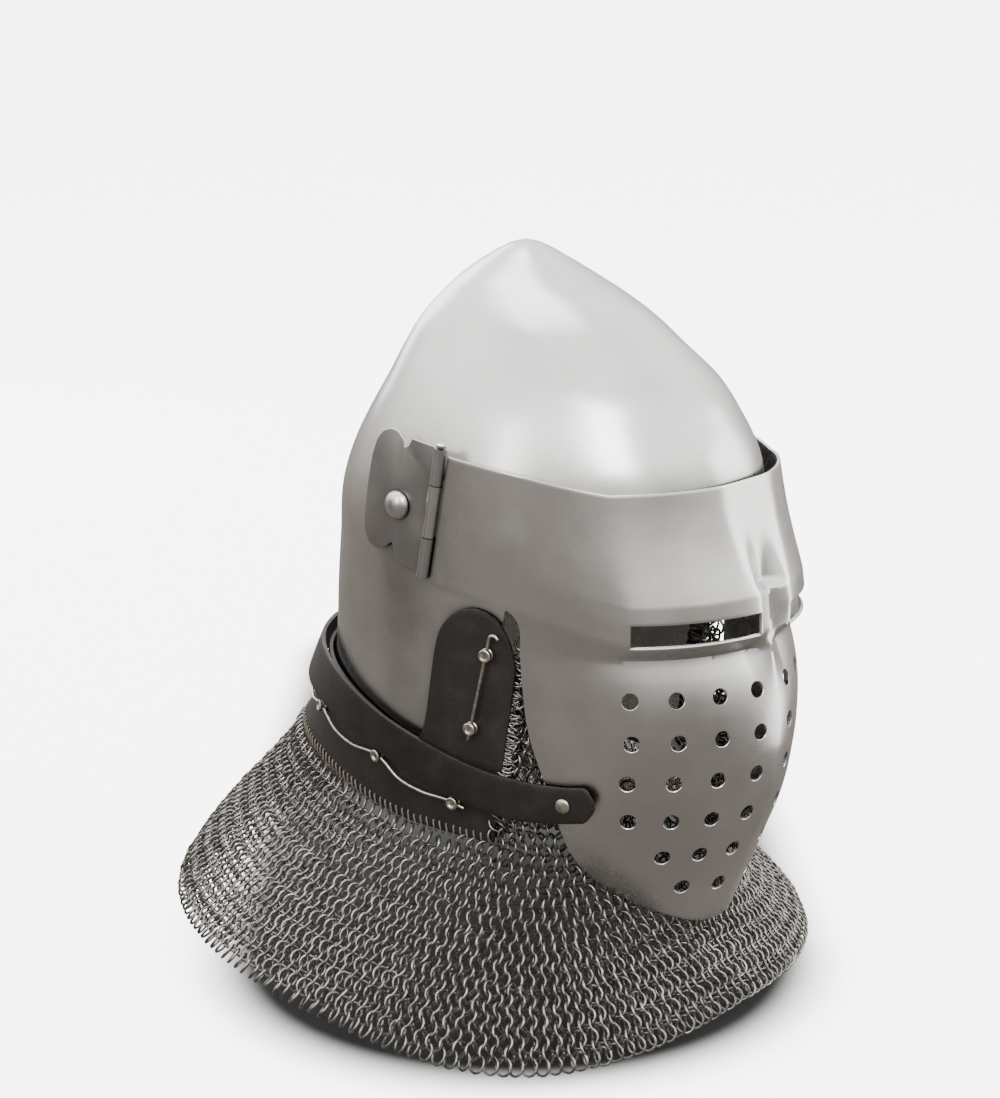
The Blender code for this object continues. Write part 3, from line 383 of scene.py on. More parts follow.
def facing_out(mesh, heart=(0, 0, 0)):
    """Welds the seam and turns an open shell's faces away from its heart."""
    bmesh.ops.remove_doubles(mesh, verts=mesh.verts, dist=1e-6)
    bmesh.ops.recalc_face_normals(mesh, faces=mesh.faces)
    heart = Vector(heart)
    out = sum(f.normal.dot(f.calc_center_median() - heart) * f.calc_area() for f in mesh.faces)
    if out < 0:
        bmesh.ops.reverse_faces(mesh, faces=mesh.faces)


def put(name, mesh):
    """Object made from a bmesh, at the origin."""
    data = bpy.data.meshes.new(name)
    mesh.to_mesh(data)
    mesh.free()
    made = bpy.data.objects.new(name, data)
    bpy.context.scene.collection.objects.link(made)
    return made


def wall(made, thickness, offset=-1, even=True):
    """Gives a sheet its wall, inward for an offset of -1 and outward for 1."""
    solid = made.modifiers.new("Wall", "SOLIDIFY")
    solid.thickness = thickness
    solid.offset = offset
    solid.use_even_offset = even


def rounded(made, width, segments=2, angle=50):
    edge = made.modifiers.new("Edges", "BEVEL")
    edge.width = width
    edge.segments = segments
    edge.limit_method = "ANGLE"
    edge.angle_limit = np.radians(angle)
    edge.use_clamp_overlap = True


def cut(made, mesh, operation="DIFFERENCE"):
    """Adds a Boolean with a helper object made from mesh."""
    change = made.modifiers.new(operation.title(), "BOOLEAN")
    change.operation = operation
    change.solver = "EXACT"
    change.object = put("helper", mesh)
    change.object.hide_render = True


def finished(made, finish, body=HELMET, stands_for=(), sharp=35):
    """Applies the modifiers, clears the helpers away, and gives the piece its finish and body."""
    helpers = [m.object for m in made.modifiers if m.type == "BOOLEAN"]
    bpy.context.view_layer.update()
    graph = bpy.context.evaluated_depsgraph_get()
    data = bpy.data.meshes.new_from_object(made.evaluated_get(graph))
    made.modifiers.clear()
    made.data = data
    for helper in helpers:
        bpy.data.objects.remove(helper)
    data.shade_smooth()
    if sharp:
        data.set_sharp_from_angle(angle=np.radians(sharp))
    data.materials.append(finish)
    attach(made, body)
    if stands_for:
        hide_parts(*stands_for)
    return made


def turned(mesh, base, axis, profile, sides):
    """Adds a closed shape turned about an axis. profile holds radius and height in metres."""
    before = set(mesh.verts)
    turn = Vector(axis).to_track_quat("Z", "Y").to_matrix().to_4x4()
    place = Matrix.Translation(Vector(base)) @ turn
    chain = [mesh.verts.new(place @ Vector((r, 0, h))) for r, h in profile]
    edges = [mesh.edges.new(pair) for pair in zip(chain, chain[1:])]
    bmesh.ops.spin(mesh, geom=chain + edges, cent=Vector(base), axis=Vector(axis).normalized(),
                   angle=2 * np.pi, steps=sides, use_merge=True)
    mine = [v for v in mesh.verts if v not in before]
    bmesh.ops.remove_doubles(mesh, verts=mine, dist=1e-6)
    mine = {f for v in mesh.verts if v not in before for f in v.link_faces}
    bmesh.ops.recalc_face_normals(mesh, faces=list(mine))


def rod(mesh, start, end, radius, sides=24):
    """Adds a closed cylinder from start to end."""
    length = (Vector(end) - Vector(start)).length
    profile = ((0, 0), (radius, 0), (radius, length), (0, length))
    turned(mesh, start, Vector(end) - Vector(start), profile, sides)


def slab(mesh, corners, depth):
    """Adds a flat outline pushed out by depth."""
    face = mesh.faces.new([mesh.verts.new(corner) for corner in corners])
    pushed = bmesh.ops.extrude_face_region(mesh, geom=[face])["geom"]
    moved = [item for item in pushed if isinstance(item, bmesh.types.BMVert)]
    bmesh.ops.translate(mesh, verts=moved, vec=Vector(depth))
    bmesh.ops.recalc_face_normals(mesh, faces=mesh.faces)


def wire(name, points, radius):
    """Round wire along points, closed at both ends, as a mesh."""
    line = bpy.data.curves.new(name, "CURVE")
    line.dimensions = "3D"
    line.bevel_depth = radius
    line.bevel_resolution = 3
    line.use_fill_caps = True
    spline = line.splines.new("NURBS")
    spline.points.add(len(points) - 1)
    for point, place in zip(spline.points, points):
        point.co = (*place, 1)
    spline.order_u = 3
    spline.use_endpoint_u = True
    spline.resolution_u = 4
    holder = bpy.data.objects.new(name, line)
    bpy.context.scene.collection.objects.link(holder)
    bpy.context.view_layer.update()
    graph = bpy.context.evaluated_depsgraph_get()
    data = bpy.data.meshes.new_from_object(holder.evaluated_get(graph))
    bpy.data.objects.remove(holder)
    mesh = bmesh.new()
    mesh.from_mesh(data)
    bmesh.ops.remove_doubles(mesh, verts=mesh.verts, dist=1e-6)
    bmesh.ops.recalc_face_normals(mesh, faces=mesh.faces)
    return put(name, mesh)


def copies(name, pattern, turns, places):
    """One mesh that holds pattern once for each place, turned by the matrix that goes with it."""
    base = np.array([v.co for v in pattern.verts])
    pattern.verts.index_update()
    loops = [[v.index for v in f.verts] for f in pattern.faces]
    points = np.einsum("nij,kj->nki", turns, base) + places[:, None, :]
    count, size = len(places), len(base)
    lengths = np.tile([len(loop) for loop in loops], count)
    flat = np.concatenate(loops)
    corners = (np.arange(count)[:, None] * size + flat[None, :]).ravel()
    data = bpy.data.meshes.new(name)
    data.vertices.add(count * size)
    data.vertices.foreach_set("co", points.astype(np.float32).ravel())
    data.loops.add(len(corners))
    data.loops.foreach_set("vertex_index", corners.astype(np.int32))
    data.polygons.add(len(lengths))
    starts = np.concatenate([[0], np.cumsum(lengths)[:-1]])
    data.polygons.foreach_set("loop_start", starts.astype(np.int32))
    data.update(calc_edges=True)
    data.validate()
    made = bpy.data.objects.new(name, data)
    bpy.context.scene.collection.objects.link(made)
    return made


# Finishes


def add_node(tree, kind, settings=(), links=()):
    """Adds a node with its settings and the outputs that feed it. stops are a ramp's colours."""
    made = tree.nodes.new(kind)
    for key, value in dict(settings).items():
        if key == "stops":
            ramp = made.color_ramp.elements
            while len(ramp) < len(value):
                ramp.new(1.0)
            for stop, (position, colour) in zip(ramp, value):
                stop.position = position
                stop.color = (*colour, 1)
        elif isinstance(key, int) or key in made.inputs:
            made.inputs[key].default_value = value
        else:
            setattr(made, key, value)
    for socket, source in dict(links).items():
        tree.links.new(source, made.inputs[socket])
    return made


def surface(name, metallic, settings=()):
    """New material: its tree, its shader and the object coordinates."""
    made = bpy.data.materials.new(name)
    made.use_nodes = True
    tree = made.node_tree
    shader = tree.nodes["Principled BSDF"]
    shader.inputs["Metallic"].default_value = metallic
    for key, value in dict(settings).items():
        shader.inputs[key].default_value = value
    place = add_node(tree, "ShaderNodeTexCoord").outputs["Object"]
    return made, tree, shader, place


def noise(tree, place, scale, detail, rough=0.5):
    """Noise laid out by the coordinates place."""
    return add_node(tree, "ShaderNodeTexNoise",
                    {"Scale": scale, "Detail": detail, "Roughness": rough}, {"Vector": place})


def paint(tree, shader, pattern, stops):
    """Gives the shader a base colour that runs through stops as pattern grows."""
    tone = add_node(tree, "ShaderNodeValToRGB", {"stops": stops}, {"Fac": pattern})
    tree.links.new(tone.outputs["Color"], shader.inputs["Base Color"])


def mapped(tree, value, to, start=(0.0, 1.0), kind="LINEAR"):
    """The output of value, stretched from start's range to that of to."""
    made = add_node(tree, "ShaderNodeMapRange", {
        "interpolation_type": kind, "From Min": start[0], "From Max": start[1], "To Min": to[0],
        "To Max": to[1]}, {"Value": value})
    return made.outputs["Result"]


def roughen(tree, shader, pattern, to, start=(0.0, 1.0)):
    """Gives the shader a roughness that follows pattern."""
    tree.links.new(mapped(tree, pattern, to, start), shader.inputs["Roughness"])


def emboss(tree, shader, *layers):
    """Lays bumps over each other: the height, strength and distance of each."""
    below = {}
    for height, strength, distance in layers:
        bump = add_node(tree, "ShaderNodeBump", {"Strength": strength, "Distance": distance},
                        {"Height": height, **below})
        below = {"Normal": bump.outputs[0]}
    tree.links.new(below["Normal"], shader.inputs["Normal"])


def shade(colour, factor):
    return tuple(min(1.0, c * factor) for c in colour)


def satin_steel(name="satin_steel", dark=1.0, rough=(0.2, 0.33)):
    """Mild steel, raised by hammer, ground and hand-buffed with a fine wheel."""
    made, tree, shader, place = surface(name, 1.0, {"Anisotropic": 0.25})
    base = shade(colours().steel, dark)
    # Buffing goes round the helmet, so the fine lines lie level: they soften every reflection
    lines = add_node(tree, "ShaderNodeMapping", {"Scale": (60, 60, 1400)}, {"Vector": place})
    fine = noise(tree, lines.outputs[0], 1.0, 3.0, 0.6)
    # Hammer work leaves shallow hollows about 28 mm across: they wave the edges of reflections
    hollows = noise(tree, place, 36.0, 1.5, 0.4)
    # Handling leaves duller clouds about 60 mm across
    clouds = noise(tree, place, 17.0, 5.0, 0.6)
    tone = add_node(tree, "ShaderNodeValToRGB",
                    {"stops": ((0.3, shade(base, 0.88)), (0.7, shade(base, 1.04)))},
                    {"Fac": clouds.outputs["Fac"]})
    # Painted shade with grime: the steel's colour darkens in the last 7 mm or so before plates meet
    # and in hollows, where shade falls and where polish and oil turn black
    near = add_node(tree, "ShaderNodeAmbientOcclusion", {"samples": 8, "Distance": 0.007})
    grime_and_shade = mapped(tree, near.outputs["AO"], (0.22, 1.0), (0.35, 0.95))
    soiled_and_shaded = add_node(tree, "ShaderNodeMix",
                      {"data_type": "RGBA", "blend_type": "MULTIPLY", 0: 1.0},
                      {6: tone.outputs["Color"], 7: grime_and_shade})
    tree.links.new(soiled_and_shaded.outputs[2], shader.inputs["Base Color"])
    roughen(tree, shader, clouds.outputs["Fac"], rough, (0.25, 0.75))
    emboss(tree, shader, (hollows.outputs["Fac"], 0.22, 0.0012),
           (fine.outputs["Fac"], 0.12, 0.0001))
    return made


def grain_leather(name, colour, rough=0.5):
    """Veg-tanned hide, dyed and waxed: a pebbled grain with worn, greyer clouds."""
    made, tree, shader, place = surface(name, 0.0, {"Specular IOR Level": 0.42})
    # Grain cells are about 1.1 mm, drawn a little coarse so that they show
    cells = add_node(tree, "ShaderNodeTexVoronoi", {"feature": "DISTANCE_TO_EDGE", "Scale": 900.0},
                     {"Vector": place})
    wear = noise(tree, place, 55.0, 6.0, 0.65)
    creases = noise(tree, place, 160.0, 4.0, 0.6)
    paint(tree, shader, wear.outputs["Fac"],
          ((0.25, shade(colour, 0.6)), (0.55, colour), (0.8, shade(colour, 1.9))))
    roughen(tree, shader, wear.outputs["Fac"], (rough - 0.12, rough + 0.15))
    emboss(tree, shader, (creases.outputs["Fac"], 0.5, 0.0004),
           (cells.outputs["Distance"], 0.35, 0.0002))
    return made


def waxed_thread():
    """Twisted linen thread, waxed and soiled to a dull brown, with a soft twist about 1 mm long."""
    made, tree, shader, place = surface("waxed_thread", 0.0, {"Roughness": 0.65})
    twist = noise(tree, place, 900.0, 2.0)
    paint(tree, shader, twist.outputs["Fac"],
          ((0.3, shade(colours().thread, 0.55)), (0.7, colours().thread)))
    return made


def tinned_metal():
    """Cast and tinned studs: bright in some patches, greyer in others."""
    made, tree, shader, place = surface("tinned_metal", 1.0)
    spots = noise(tree, place, 260.0, 5.0, 0.6)
    paint(tree, shader, spots.outputs["Fac"],
          ((0.3, shade(colours().stud, 0.45)), (0.65, colours().stud)))
    roughen(tree, shader, spots.outputs["Fac"], (0.2, 0.45))
    emboss(tree, shader, (spots.outputs["Fac"], 0.25, 0.0002))
    return made


def blackened_wire():
    """Steel wire rings with a worn black oxide: dark in some patches, bright in others."""
    made, tree, shader, place = surface("blackened_wire", 1.0)
    # Oxide patches are 3 to 8 mm, so that one ring is darker than the next
    patches = noise(tree, place, 190.0, 3.0, 0.7)
    paint(tree, shader, patches.outputs["Fac"],
          ((0.35, shade(colours().ring, 0.3)), (0.62, colours().ring)))
    roughen(tree, shader, patches.outputs["Fac"], (0.42, 0.24))
    return made


def matt_backdrop():
    """White backdrop that glows evenly. Its dark shade under and behind the helmet is painted, and
    keeps the white floor out of the slits, the breaths and the mail."""
    made, tree, shader, place = surface("matt_backdrop", 0.0, {"Roughness": 0.9})
    flat = add_node(tree, "ShaderNodeVectorMath", {"operation": "MULTIPLY", 1: (1.0, 1.0, 0.0)},
                    {0: place})
    along = add_node(tree, "ShaderNodeVectorMath", {"operation": "DOT_PRODUCT", 1: AWAY},
                     {0: flat.outputs[0]})
    reach = mapped(tree, along.outputs["Value"], (0.0, SHADE_LENGTH), (0.0, SHADE_LENGTH))
    spine = add_node(tree, "ShaderNodeVectorMath", {"operation": "SCALE", 0: AWAY}, {3: reach})
    apart = add_node(tree, "ShaderNodeVectorMath", {"operation": "DISTANCE"},
                     {0: flat.outputs[0], 1: spine.outputs[0]})
    edge = (SHADE_FROM, SHADE_TO)
    for socket, to in (("Base Color", (0.01, 0.85)), ("Emission Strength", (0.0, FLOOR_GLOW))):
        light = mapped(tree, apart.outputs["Value"], to, edge, "SMOOTHSTEP")
        tree.links.new(light, shader.inputs[socket])
    shader.inputs["Emission Color"].default_value = (*colours().floor, 1)
    return made


def once(name, make):
    """The material of this name, made the first time that it is asked for."""
    return bpy.data.materials.get(name) or make()


def steel():
    return once("satin_steel", satin_steel)


def plate_steel():
    return once("plate_steel", lambda: satin_steel("plate_steel", 0.72, (0.27, 0.4)))


def stud_metal():
    return once("tinned_metal", tinned_metal)


# Pieces


def pivot_bore(mesh, side):
    """Hole for a dome rivet's shank."""
    rod(mesh, (side * 0.09, 0, 0), (side * 0.11, 0, 0), PIVOT_HOLE)


def pin_bore(mesh, side):
    """Hole for a hinge pin, right through the knuckles."""
    rod(mesh, hinge(side, 0, -BORE_REACH), hinge(side, 0, BORE_REACH), PIN + 0.35 * MM)


def build_skull():
    top_rows, low_rows, across = 70, 56, 176
    angles = np.linspace(0, 360, across + 1)
    rings = [np.tile((0, SKULL[4][0], SKULL[0][0]), (across + 1, 1))]
    for row in range(1, top_rows + 1):
        height = SKULL[0][0] * (1 - (row / top_rows) ** 1.7)
        rings.append(skull_at(angles, np.full(across + 1, height)))
    for row in range(1, low_rows + 1):
        share = row / low_rows
        z = np.full(across + 1, share * RIM_HEIGHT)
        for _ in range(6):
            z = share * (RIM_HEIGHT + RIM_SLOPE * skull_at(angles, z)[:, 1])
        rings.append(skull_at(angles, z))
    rings = np.array(rings)
    mesh = grid_mesh(across, top_rows + low_rows, lambda u, v: rings[v, u])
    facing_out(mesh)
    made = put("skull_bowl", mesh)
    wall(made, sizes().skull_wall)
    opening = bmesh.new()
    slab(opening, [(-0.2, -y * MM, z * MM) for y, z in FACE], (0.4, 0, 0))
    cut(made, opening)
    pivots = bmesh.new()
    for side, _ in SIDES:
        pivot_bore(pivots, side)
    cut(made, pivots)
    finished(made, steel(), stands_for=["skull"])


def breath_places():
    """Middle and outward direction of each breath of the right half."""
    line = np.linspace(0, VISOR_EDGE, 400)
    for row, count, pitch in BREATHS:
        points, above = visor_surface(line, np.array([row, row - 0.05]))
        length = np.concatenate([[0], np.cumsum(np.linalg.norm(np.diff(points, axis=0), axis=1))])
        for k in range(count):
            i = int(np.searchsorted(length, BREATH_FIRST + k * pitch * MM))
            out = np.cross(points[i + 1] - points[i - 1], above[i] - points[i])
            out = out / np.linalg.norm(out)
            if out @ (points[i] * (1, 1, 0)) < 0:
                out = -out
            yield points[i], out


def build_visor():
    # Columns from the middle: up to the slit, along it, over the box's mitre, up to the corner
    counts = (8, 36, 8, 4)
    first, last = counts[0], sum(counts[:2])
    stops = np.array((0, 14, 78, 92, 98.6)) * MM
    at = np.concatenate([np.linspace(a, b, n, endpoint=False) for a, b, n in zip(
        stops, stops[1:], counts)] + [VISOR_EDGE + np.linspace(0, 1, 25)])
    parts = (9, 9, 9, 6, 6, 6, 6, 9, 10, 10, 10, 10, 10, 12)
    rows = np.concatenate([i + np.arange(n) / n for i, n in enumerate(parts)] + [[CHIN]])
    right = visor_surface(at, rows)
    left = right[:, :0:-1] * (-1, 1, 1)
    grid = np.concatenate([left, right], axis=1)
    down, across = grid.shape[0] - 1, grid.shape[1] - 1
    middle = across // 2
    slit, below = sum(parts[:SLIT_TOP]), sum(parts[:SLIT_BOTTOM])
    kept = np.ones((down, across), bool)
    kept[slit:below, middle + first:middle + last] = False
    kept[slit:below, middle - last:middle - first] = False
    mesh = grid_mesh(across, down, lambda u, v: grid[v, u], kept)
    facing_out(mesh)
    made = put("visor_plate", mesh)
    wall(made, sizes().visor_wall)
    rounded(made, 0.35 * MM)
    knuckles, blocks, bores, breaths = bmesh.new(), bmesh.new(), bmesh.new(), bmesh.new()
    near, far = HINGE_X - 1.9 * MM, HINGE_X - 0.5 * MM
    for side, _ in SIDES:
        rod(knuckles, hinge(side, 0, -VISOR_KNUCKLE), hinge(side, 0, VISOR_KNUCKLE), KNUCKLE)
        pin_bore(bores, side)
        back, hold, tall = -KNUCKLE - 3 * MM, -2.35 * MM, VISOR_KNUCKLE - 1 * MM
        corners = [(back, -tall), (hold, -tall), (hold, tall), (back, tall)]
        slab(blocks, [hinge(side, u, v, near) for u, v in corners], (side * (far - near), 0, 0))
    radius = sizes().breath
    # Each hole has a narrow burr that was filed to a chamfer
    profile = ((0, -7), (radius / MM, -7), (radius / MM, -0.35), (radius / MM + 0.9, 0.55),
               (radius / MM + 0.9, 4), (0, 4))
    profile = [(r * MM, h * MM) for r, h in profile]
    for point, out in breath_places():
        for side, _ in SIDES:
            flip = np.array([-side, 1, 1])
            turned(breaths, point * flip, out * flip, profile, 28)
    # Behind the cheek the plate is cut away below the wing, with a rounded corner
    cheek = visor_surface(np.array([VISOR_EDGE]), np.linspace(SLIT_BOTTOM, CHIN, 120))[:, 0, 1:]
    wing_end = visor_surface(np.array([VISOR_EDGE + 1]), np.array([float(SLIT_BOTTOM)]))[0, 0, 1:]
    corner = cheek[0]
    start = corner + (wing_end - corner) / np.linalg.norm(wing_end - corner) * CUT_CORNER
    down_to = int(np.argmax(np.linalg.norm(cheek - corner, axis=1) > CUT_CORNER))
    bend = np.linspace(0, 1, 9)[:, None]
    rest = 1 - bend
    round_off = start * rest ** 2 + 2 * bend * rest * corner + cheek[down_to] * bend ** 2
    beyond = wing_end + (wing_end - corner) * 0.1
    low = cheek[-1] + (0, -20 * MM)
    edge = [beyond, *round_off, *cheek[down_to + 1:], low, (0.03, low[1]), (0.03, beyond[1])]
    waste = bmesh.new()
    slab(waste, [(-0.13, y, z) for y, z in edge], (0.26, 0, 0))
    cut(made, waste)
    cut(made, knuckles, "UNION")
    cut(made, blocks, "UNION")
    cut(made, bores)
    cut(made, breaths)
    finished(made, steel(), body=VISOR, stands_for=["visor"], sharp=30)


def build_hinges():
    for side, name in SIDES:
        outer, clear = PIN + 1.05 * MM, KNUCKLE + 2 * KNUCKLE_GAP
        (up_low, up_high), (low_low, low_high) = PLATE_KNUCKLES
        share = np.linspace(0, len(PLATE) - 1, 6 * len(PLATE))
        edge = [tuple(point * MM) for point in eased(PLATE, share, 0.2)]
        low, high = low_high - KNUCKLE_GAP, up_low + KNUCKLE_GAP
        edge += [(outer, low_low + KNUCKLE_GAP), (outer, low), (clear, low)]
        edge += [(clear, high), (outer, high), (outer, up_high - KNUCKLE_GAP)]
        mesh = bmesh.new()
        slab(mesh, [hinge(side, u, v, PLATE_IN) for u, v in edge],
             (side * (PLATE_OUT - PLATE_IN), 0, 0))
        made = put("hinge_leaf_" + name, mesh)
        rounded(made, 0.5 * MM, 3, 60)
        knuckles, bores = bmesh.new(), bmesh.new()
        for low, high in PLATE_KNUCKLES:
            rod(knuckles, hinge(side, 0, low), hinge(side, 0, high), KNUCKLE)
        cut(made, knuckles, "UNION")
        pin_bore(bores, side)
        pivot_bore(bores, side)
        cut(made, bores)
        finished(made, plate_steel(), body=VISOR, stands_for=["hinge_plate_" + name],
                 sharp=40)

        mesh = bmesh.new()
        length = PIN_ENDS[1] - PIN_ENDS[0]
        head = 2 * PIN
        profile = ((0, 0), (PIN * 0.8, 0), (PIN, 0.3 * MM), (PIN, length - 1.2 * MM),
                   (head, length - 1 * MM), (head, length), (PIN * 1.4, length + 0.7 * MM),
                   (0, length + MM))
        along = hinge(side, 0, 1) - hinge(side, 0, 0)
        turned(mesh, hinge(side, 0, PIN_ENDS[0]), along, profile, 24)
        finished(put("hinge_rod_" + name, mesh), steel(), body=VISOR,
                 stands_for=["hinge_pin_" + name])

        mesh = bmesh.new()
        shank, dome, rest = 3.0 * MM, 7.75 * MM, 0.4 * MM
        profile = [(0, -4.9 * MM), (shank, -4.9 * MM), (shank, rest), (dome * 0.97, rest)]
        for turn in (0, 8, 16, 26, 36, 46, 56, 66, 76, 84):
            a = np.radians(turn)
            profile.append((dome * np.cos(a), rest + 0.35 * MM + 0.58 * dome * np.sin(a)))
        profile.append((0, rest + 0.35 * MM + 0.58 * dome))
        turned(mesh, (side * PLATE_OUT, 0, 0), (side, 0, 0), profile, 48)
        finished(put("dome_rivet_" + name, mesh), steel(), stands_for=["pivot_rivet_" + name],
                 sharp=50)


def leather_edges(at):
    """Angles and heights of the leather's edges at fractional columns of its table."""
    return eased(LEATHER_EDGES.T, at, 0.4).T


def leather_frame(angle, z):
    """Point of the leather's outside, the way out of it and the way round the helmet."""
    angles, heights = np.array([angle, angle + 1, angle]), np.array([z, z, z - 2 * MM])
    here, ahead, below = leather_at(angles, heights)
    ahead, below = ahead - here, below - here
    out = np.cross(below, ahead)
    out = out / np.linalg.norm(out)
    if out @ (here * (1, 1, 0)) < 0:
        out = -out
    return here, out, ahead / np.linalg.norm(ahead)


def build_leather():
    down, half = 44, 168
    at = np.linspace(0, LEATHER_EDGES.shape[1] - 1, half + 1)
    top_a, top_z, low_a, low_z = leather_edges(at)
    share = np.linspace(0, 1, down + 1)[:, None]
    right = leather_at(top_a + share * (low_a - top_a), (top_z + share * (low_z - top_z)) * MM)
    grid = np.concatenate([right, right[:, -2::-1] * (-1, 1, 1)], axis=1)
    mesh = grid_mesh(2 * half, down, lambda u, v: grid[v, u])
    facing_out(mesh, (0, 0, -0.12))
    made = put("leather_band", mesh)
    wall(made, sizes().leather, even=False)
    rounded(made, 0.55 * MM, 2, 60)
    holes = bmesh.new()
    for angle, z in RIM_STUDS + CHEEK_STUDS:
        here, out, _ = leather_frame(angle, z * MM)
        for side, _ in SIDES:
            flip = np.array([-side, 1, 1])
            low, high = (here - 4 * MM * out) * flip, (here + 2 * MM * out) * flip
            rod(holes, low, high, STUD_SHANK + 0.3 * MM, 16)
    cut(made, holes)
    hide = once("band_leather", lambda: grain_leather("band_leather", colours().leather))
    finished(made, hide, stands_for=["aventail_leather"], sharp=40)

    # Whip stitches over the lower edge: out through the band, down and under it
    places, turns = [], []
    fine = np.linspace(0, LEATHER_EDGES.shape[1] - 1, 1200)
    _, _, low_a, low_z = leather_edges(fine)
    edge = leather_at(low_a, low_z * MM)
    length = np.concatenate([[0], np.cumsum(np.linalg.norm(np.diff(edge, axis=0), axis=1))])
    number = int(length[-1] / sizes().stitch_pitch)
    rng = np.random.default_rng(sizes().seed)
    for stop in (np.arange(number) + 0.5) / number * length[-1]:
        i = int(np.clip(np.searchsorted(length, stop), 1, len(edge) - 2))
        here, out, ahead = leather_frame(low_a[i], low_z[i] * MM)
        for side, _ in SIDES:
            flip = np.array([-side, 1, 1])
            o, a = out * flip, ahead * flip
            up = np.cross(o, a)
            up = up * np.sign(up[2])
            tilt = 0.18 + rng.normal(0, 0.06)
            up, a = up + a * tilt, a - up * tilt
            size = 1 + rng.normal(0, 0.06)
            turns.append(np.stack([a / np.linalg.norm(a), o, up / np.linalg.norm(up) * size], 1))
            places.append(here * flip)
    mesh = bmesh.new()
    track = ((-1.6, 4.6), (0.0, 5.0), (0.45, 4.2), (0.55, 2.2), (0.5, 0.2), (0.1, -1.3),
             (-1.4, -1.9))
    rings = []
    for k, (out, up) in enumerate(track):
        before, after = track[max(k - 1, 0)], track[min(k + 1, len(track) - 1)]
        way = Vector((0, after[0] - before[0], after[1] - before[1])).normalized()
        turn = way.to_track_quat("Z", "X").to_matrix().to_4x4()
        place = Matrix.Translation((0, out * MM, up * MM)) @ turn
        made = bmesh.ops.create_circle(mesh, segments=5, radius=0.55 * MM, matrix=place)["verts"]
        rings.append([e for e in mesh.edges if e.verts[0] in made and e.verts[1] in made])
    for low, high in zip(rings, rings[1:]):
        bmesh.ops.bridge_loops(mesh, edges=low + high)
    bmesh.ops.holes_fill(mesh, edges=mesh.edges)
    bmesh.ops.recalc_face_normals(mesh, faces=mesh.faces)
    made = copies("edge_stitches", mesh, np.array(turns), np.array(places))
    finished(made, once("waxed_thread", waxed_thread), sharp=0)


EYE = STUD_REST + STUD_HEIGHT / 2
STRAIGHT = STUD_RADIUS + MM


def on_leather(angle, z, out):
    """Point this far out from the leather, for angles right round the helmet."""
    here, away, _ = leather_frame(angle if angle <= 180 else 360 - angle, z)
    return (here + away * out) * (1 if angle <= 180 else -1, 1, 1)


def wire_path(stops, sag):
    """Wire through the eyes of studs at these places, and the way it runs at each eye."""
    stops = [(a, z * MM) for a, z in stops]
    eyes = [on_leather(a, z, EYE) for a, z in stops]
    ways = []
    for i in range(len(eyes)):
        before, after = max(i - 1, 0), min(i + 1, len(eyes) - 1)
        a0, z0 = [0.8 * here + 0.2 * there for here, there in zip(stops[i], stops[before])]
        a1, z1 = [0.8 * here + 0.2 * there for here, there in zip(stops[i], stops[after])]
        way = on_leather(a1, z1, EYE) - on_leather(a0, z0, EYE)
        ways.append(way / np.linalg.norm(way))
    path = [eyes[0] - ways[0] * STRAIGHT * 1.6]
    for i, (eye, way) in enumerate(zip(eyes, ways)):
        path += [eye - way * STRAIGHT, eye, eye + way * STRAIGHT]
        if i + 1 < len(eyes):
            for share in (0.3, 0.4, 0.5, 0.6, 0.7):
                a, z = [(1 - share) * here + share * there
                        for here, there in zip(stops[i], stops[i + 1])]
                path.append(on_leather(a, z - sag * np.sin(np.pi * share), EYE))
    path.append(eyes[-1] + ways[-1] * STRAIGHT * 1.6)
    return path, ways


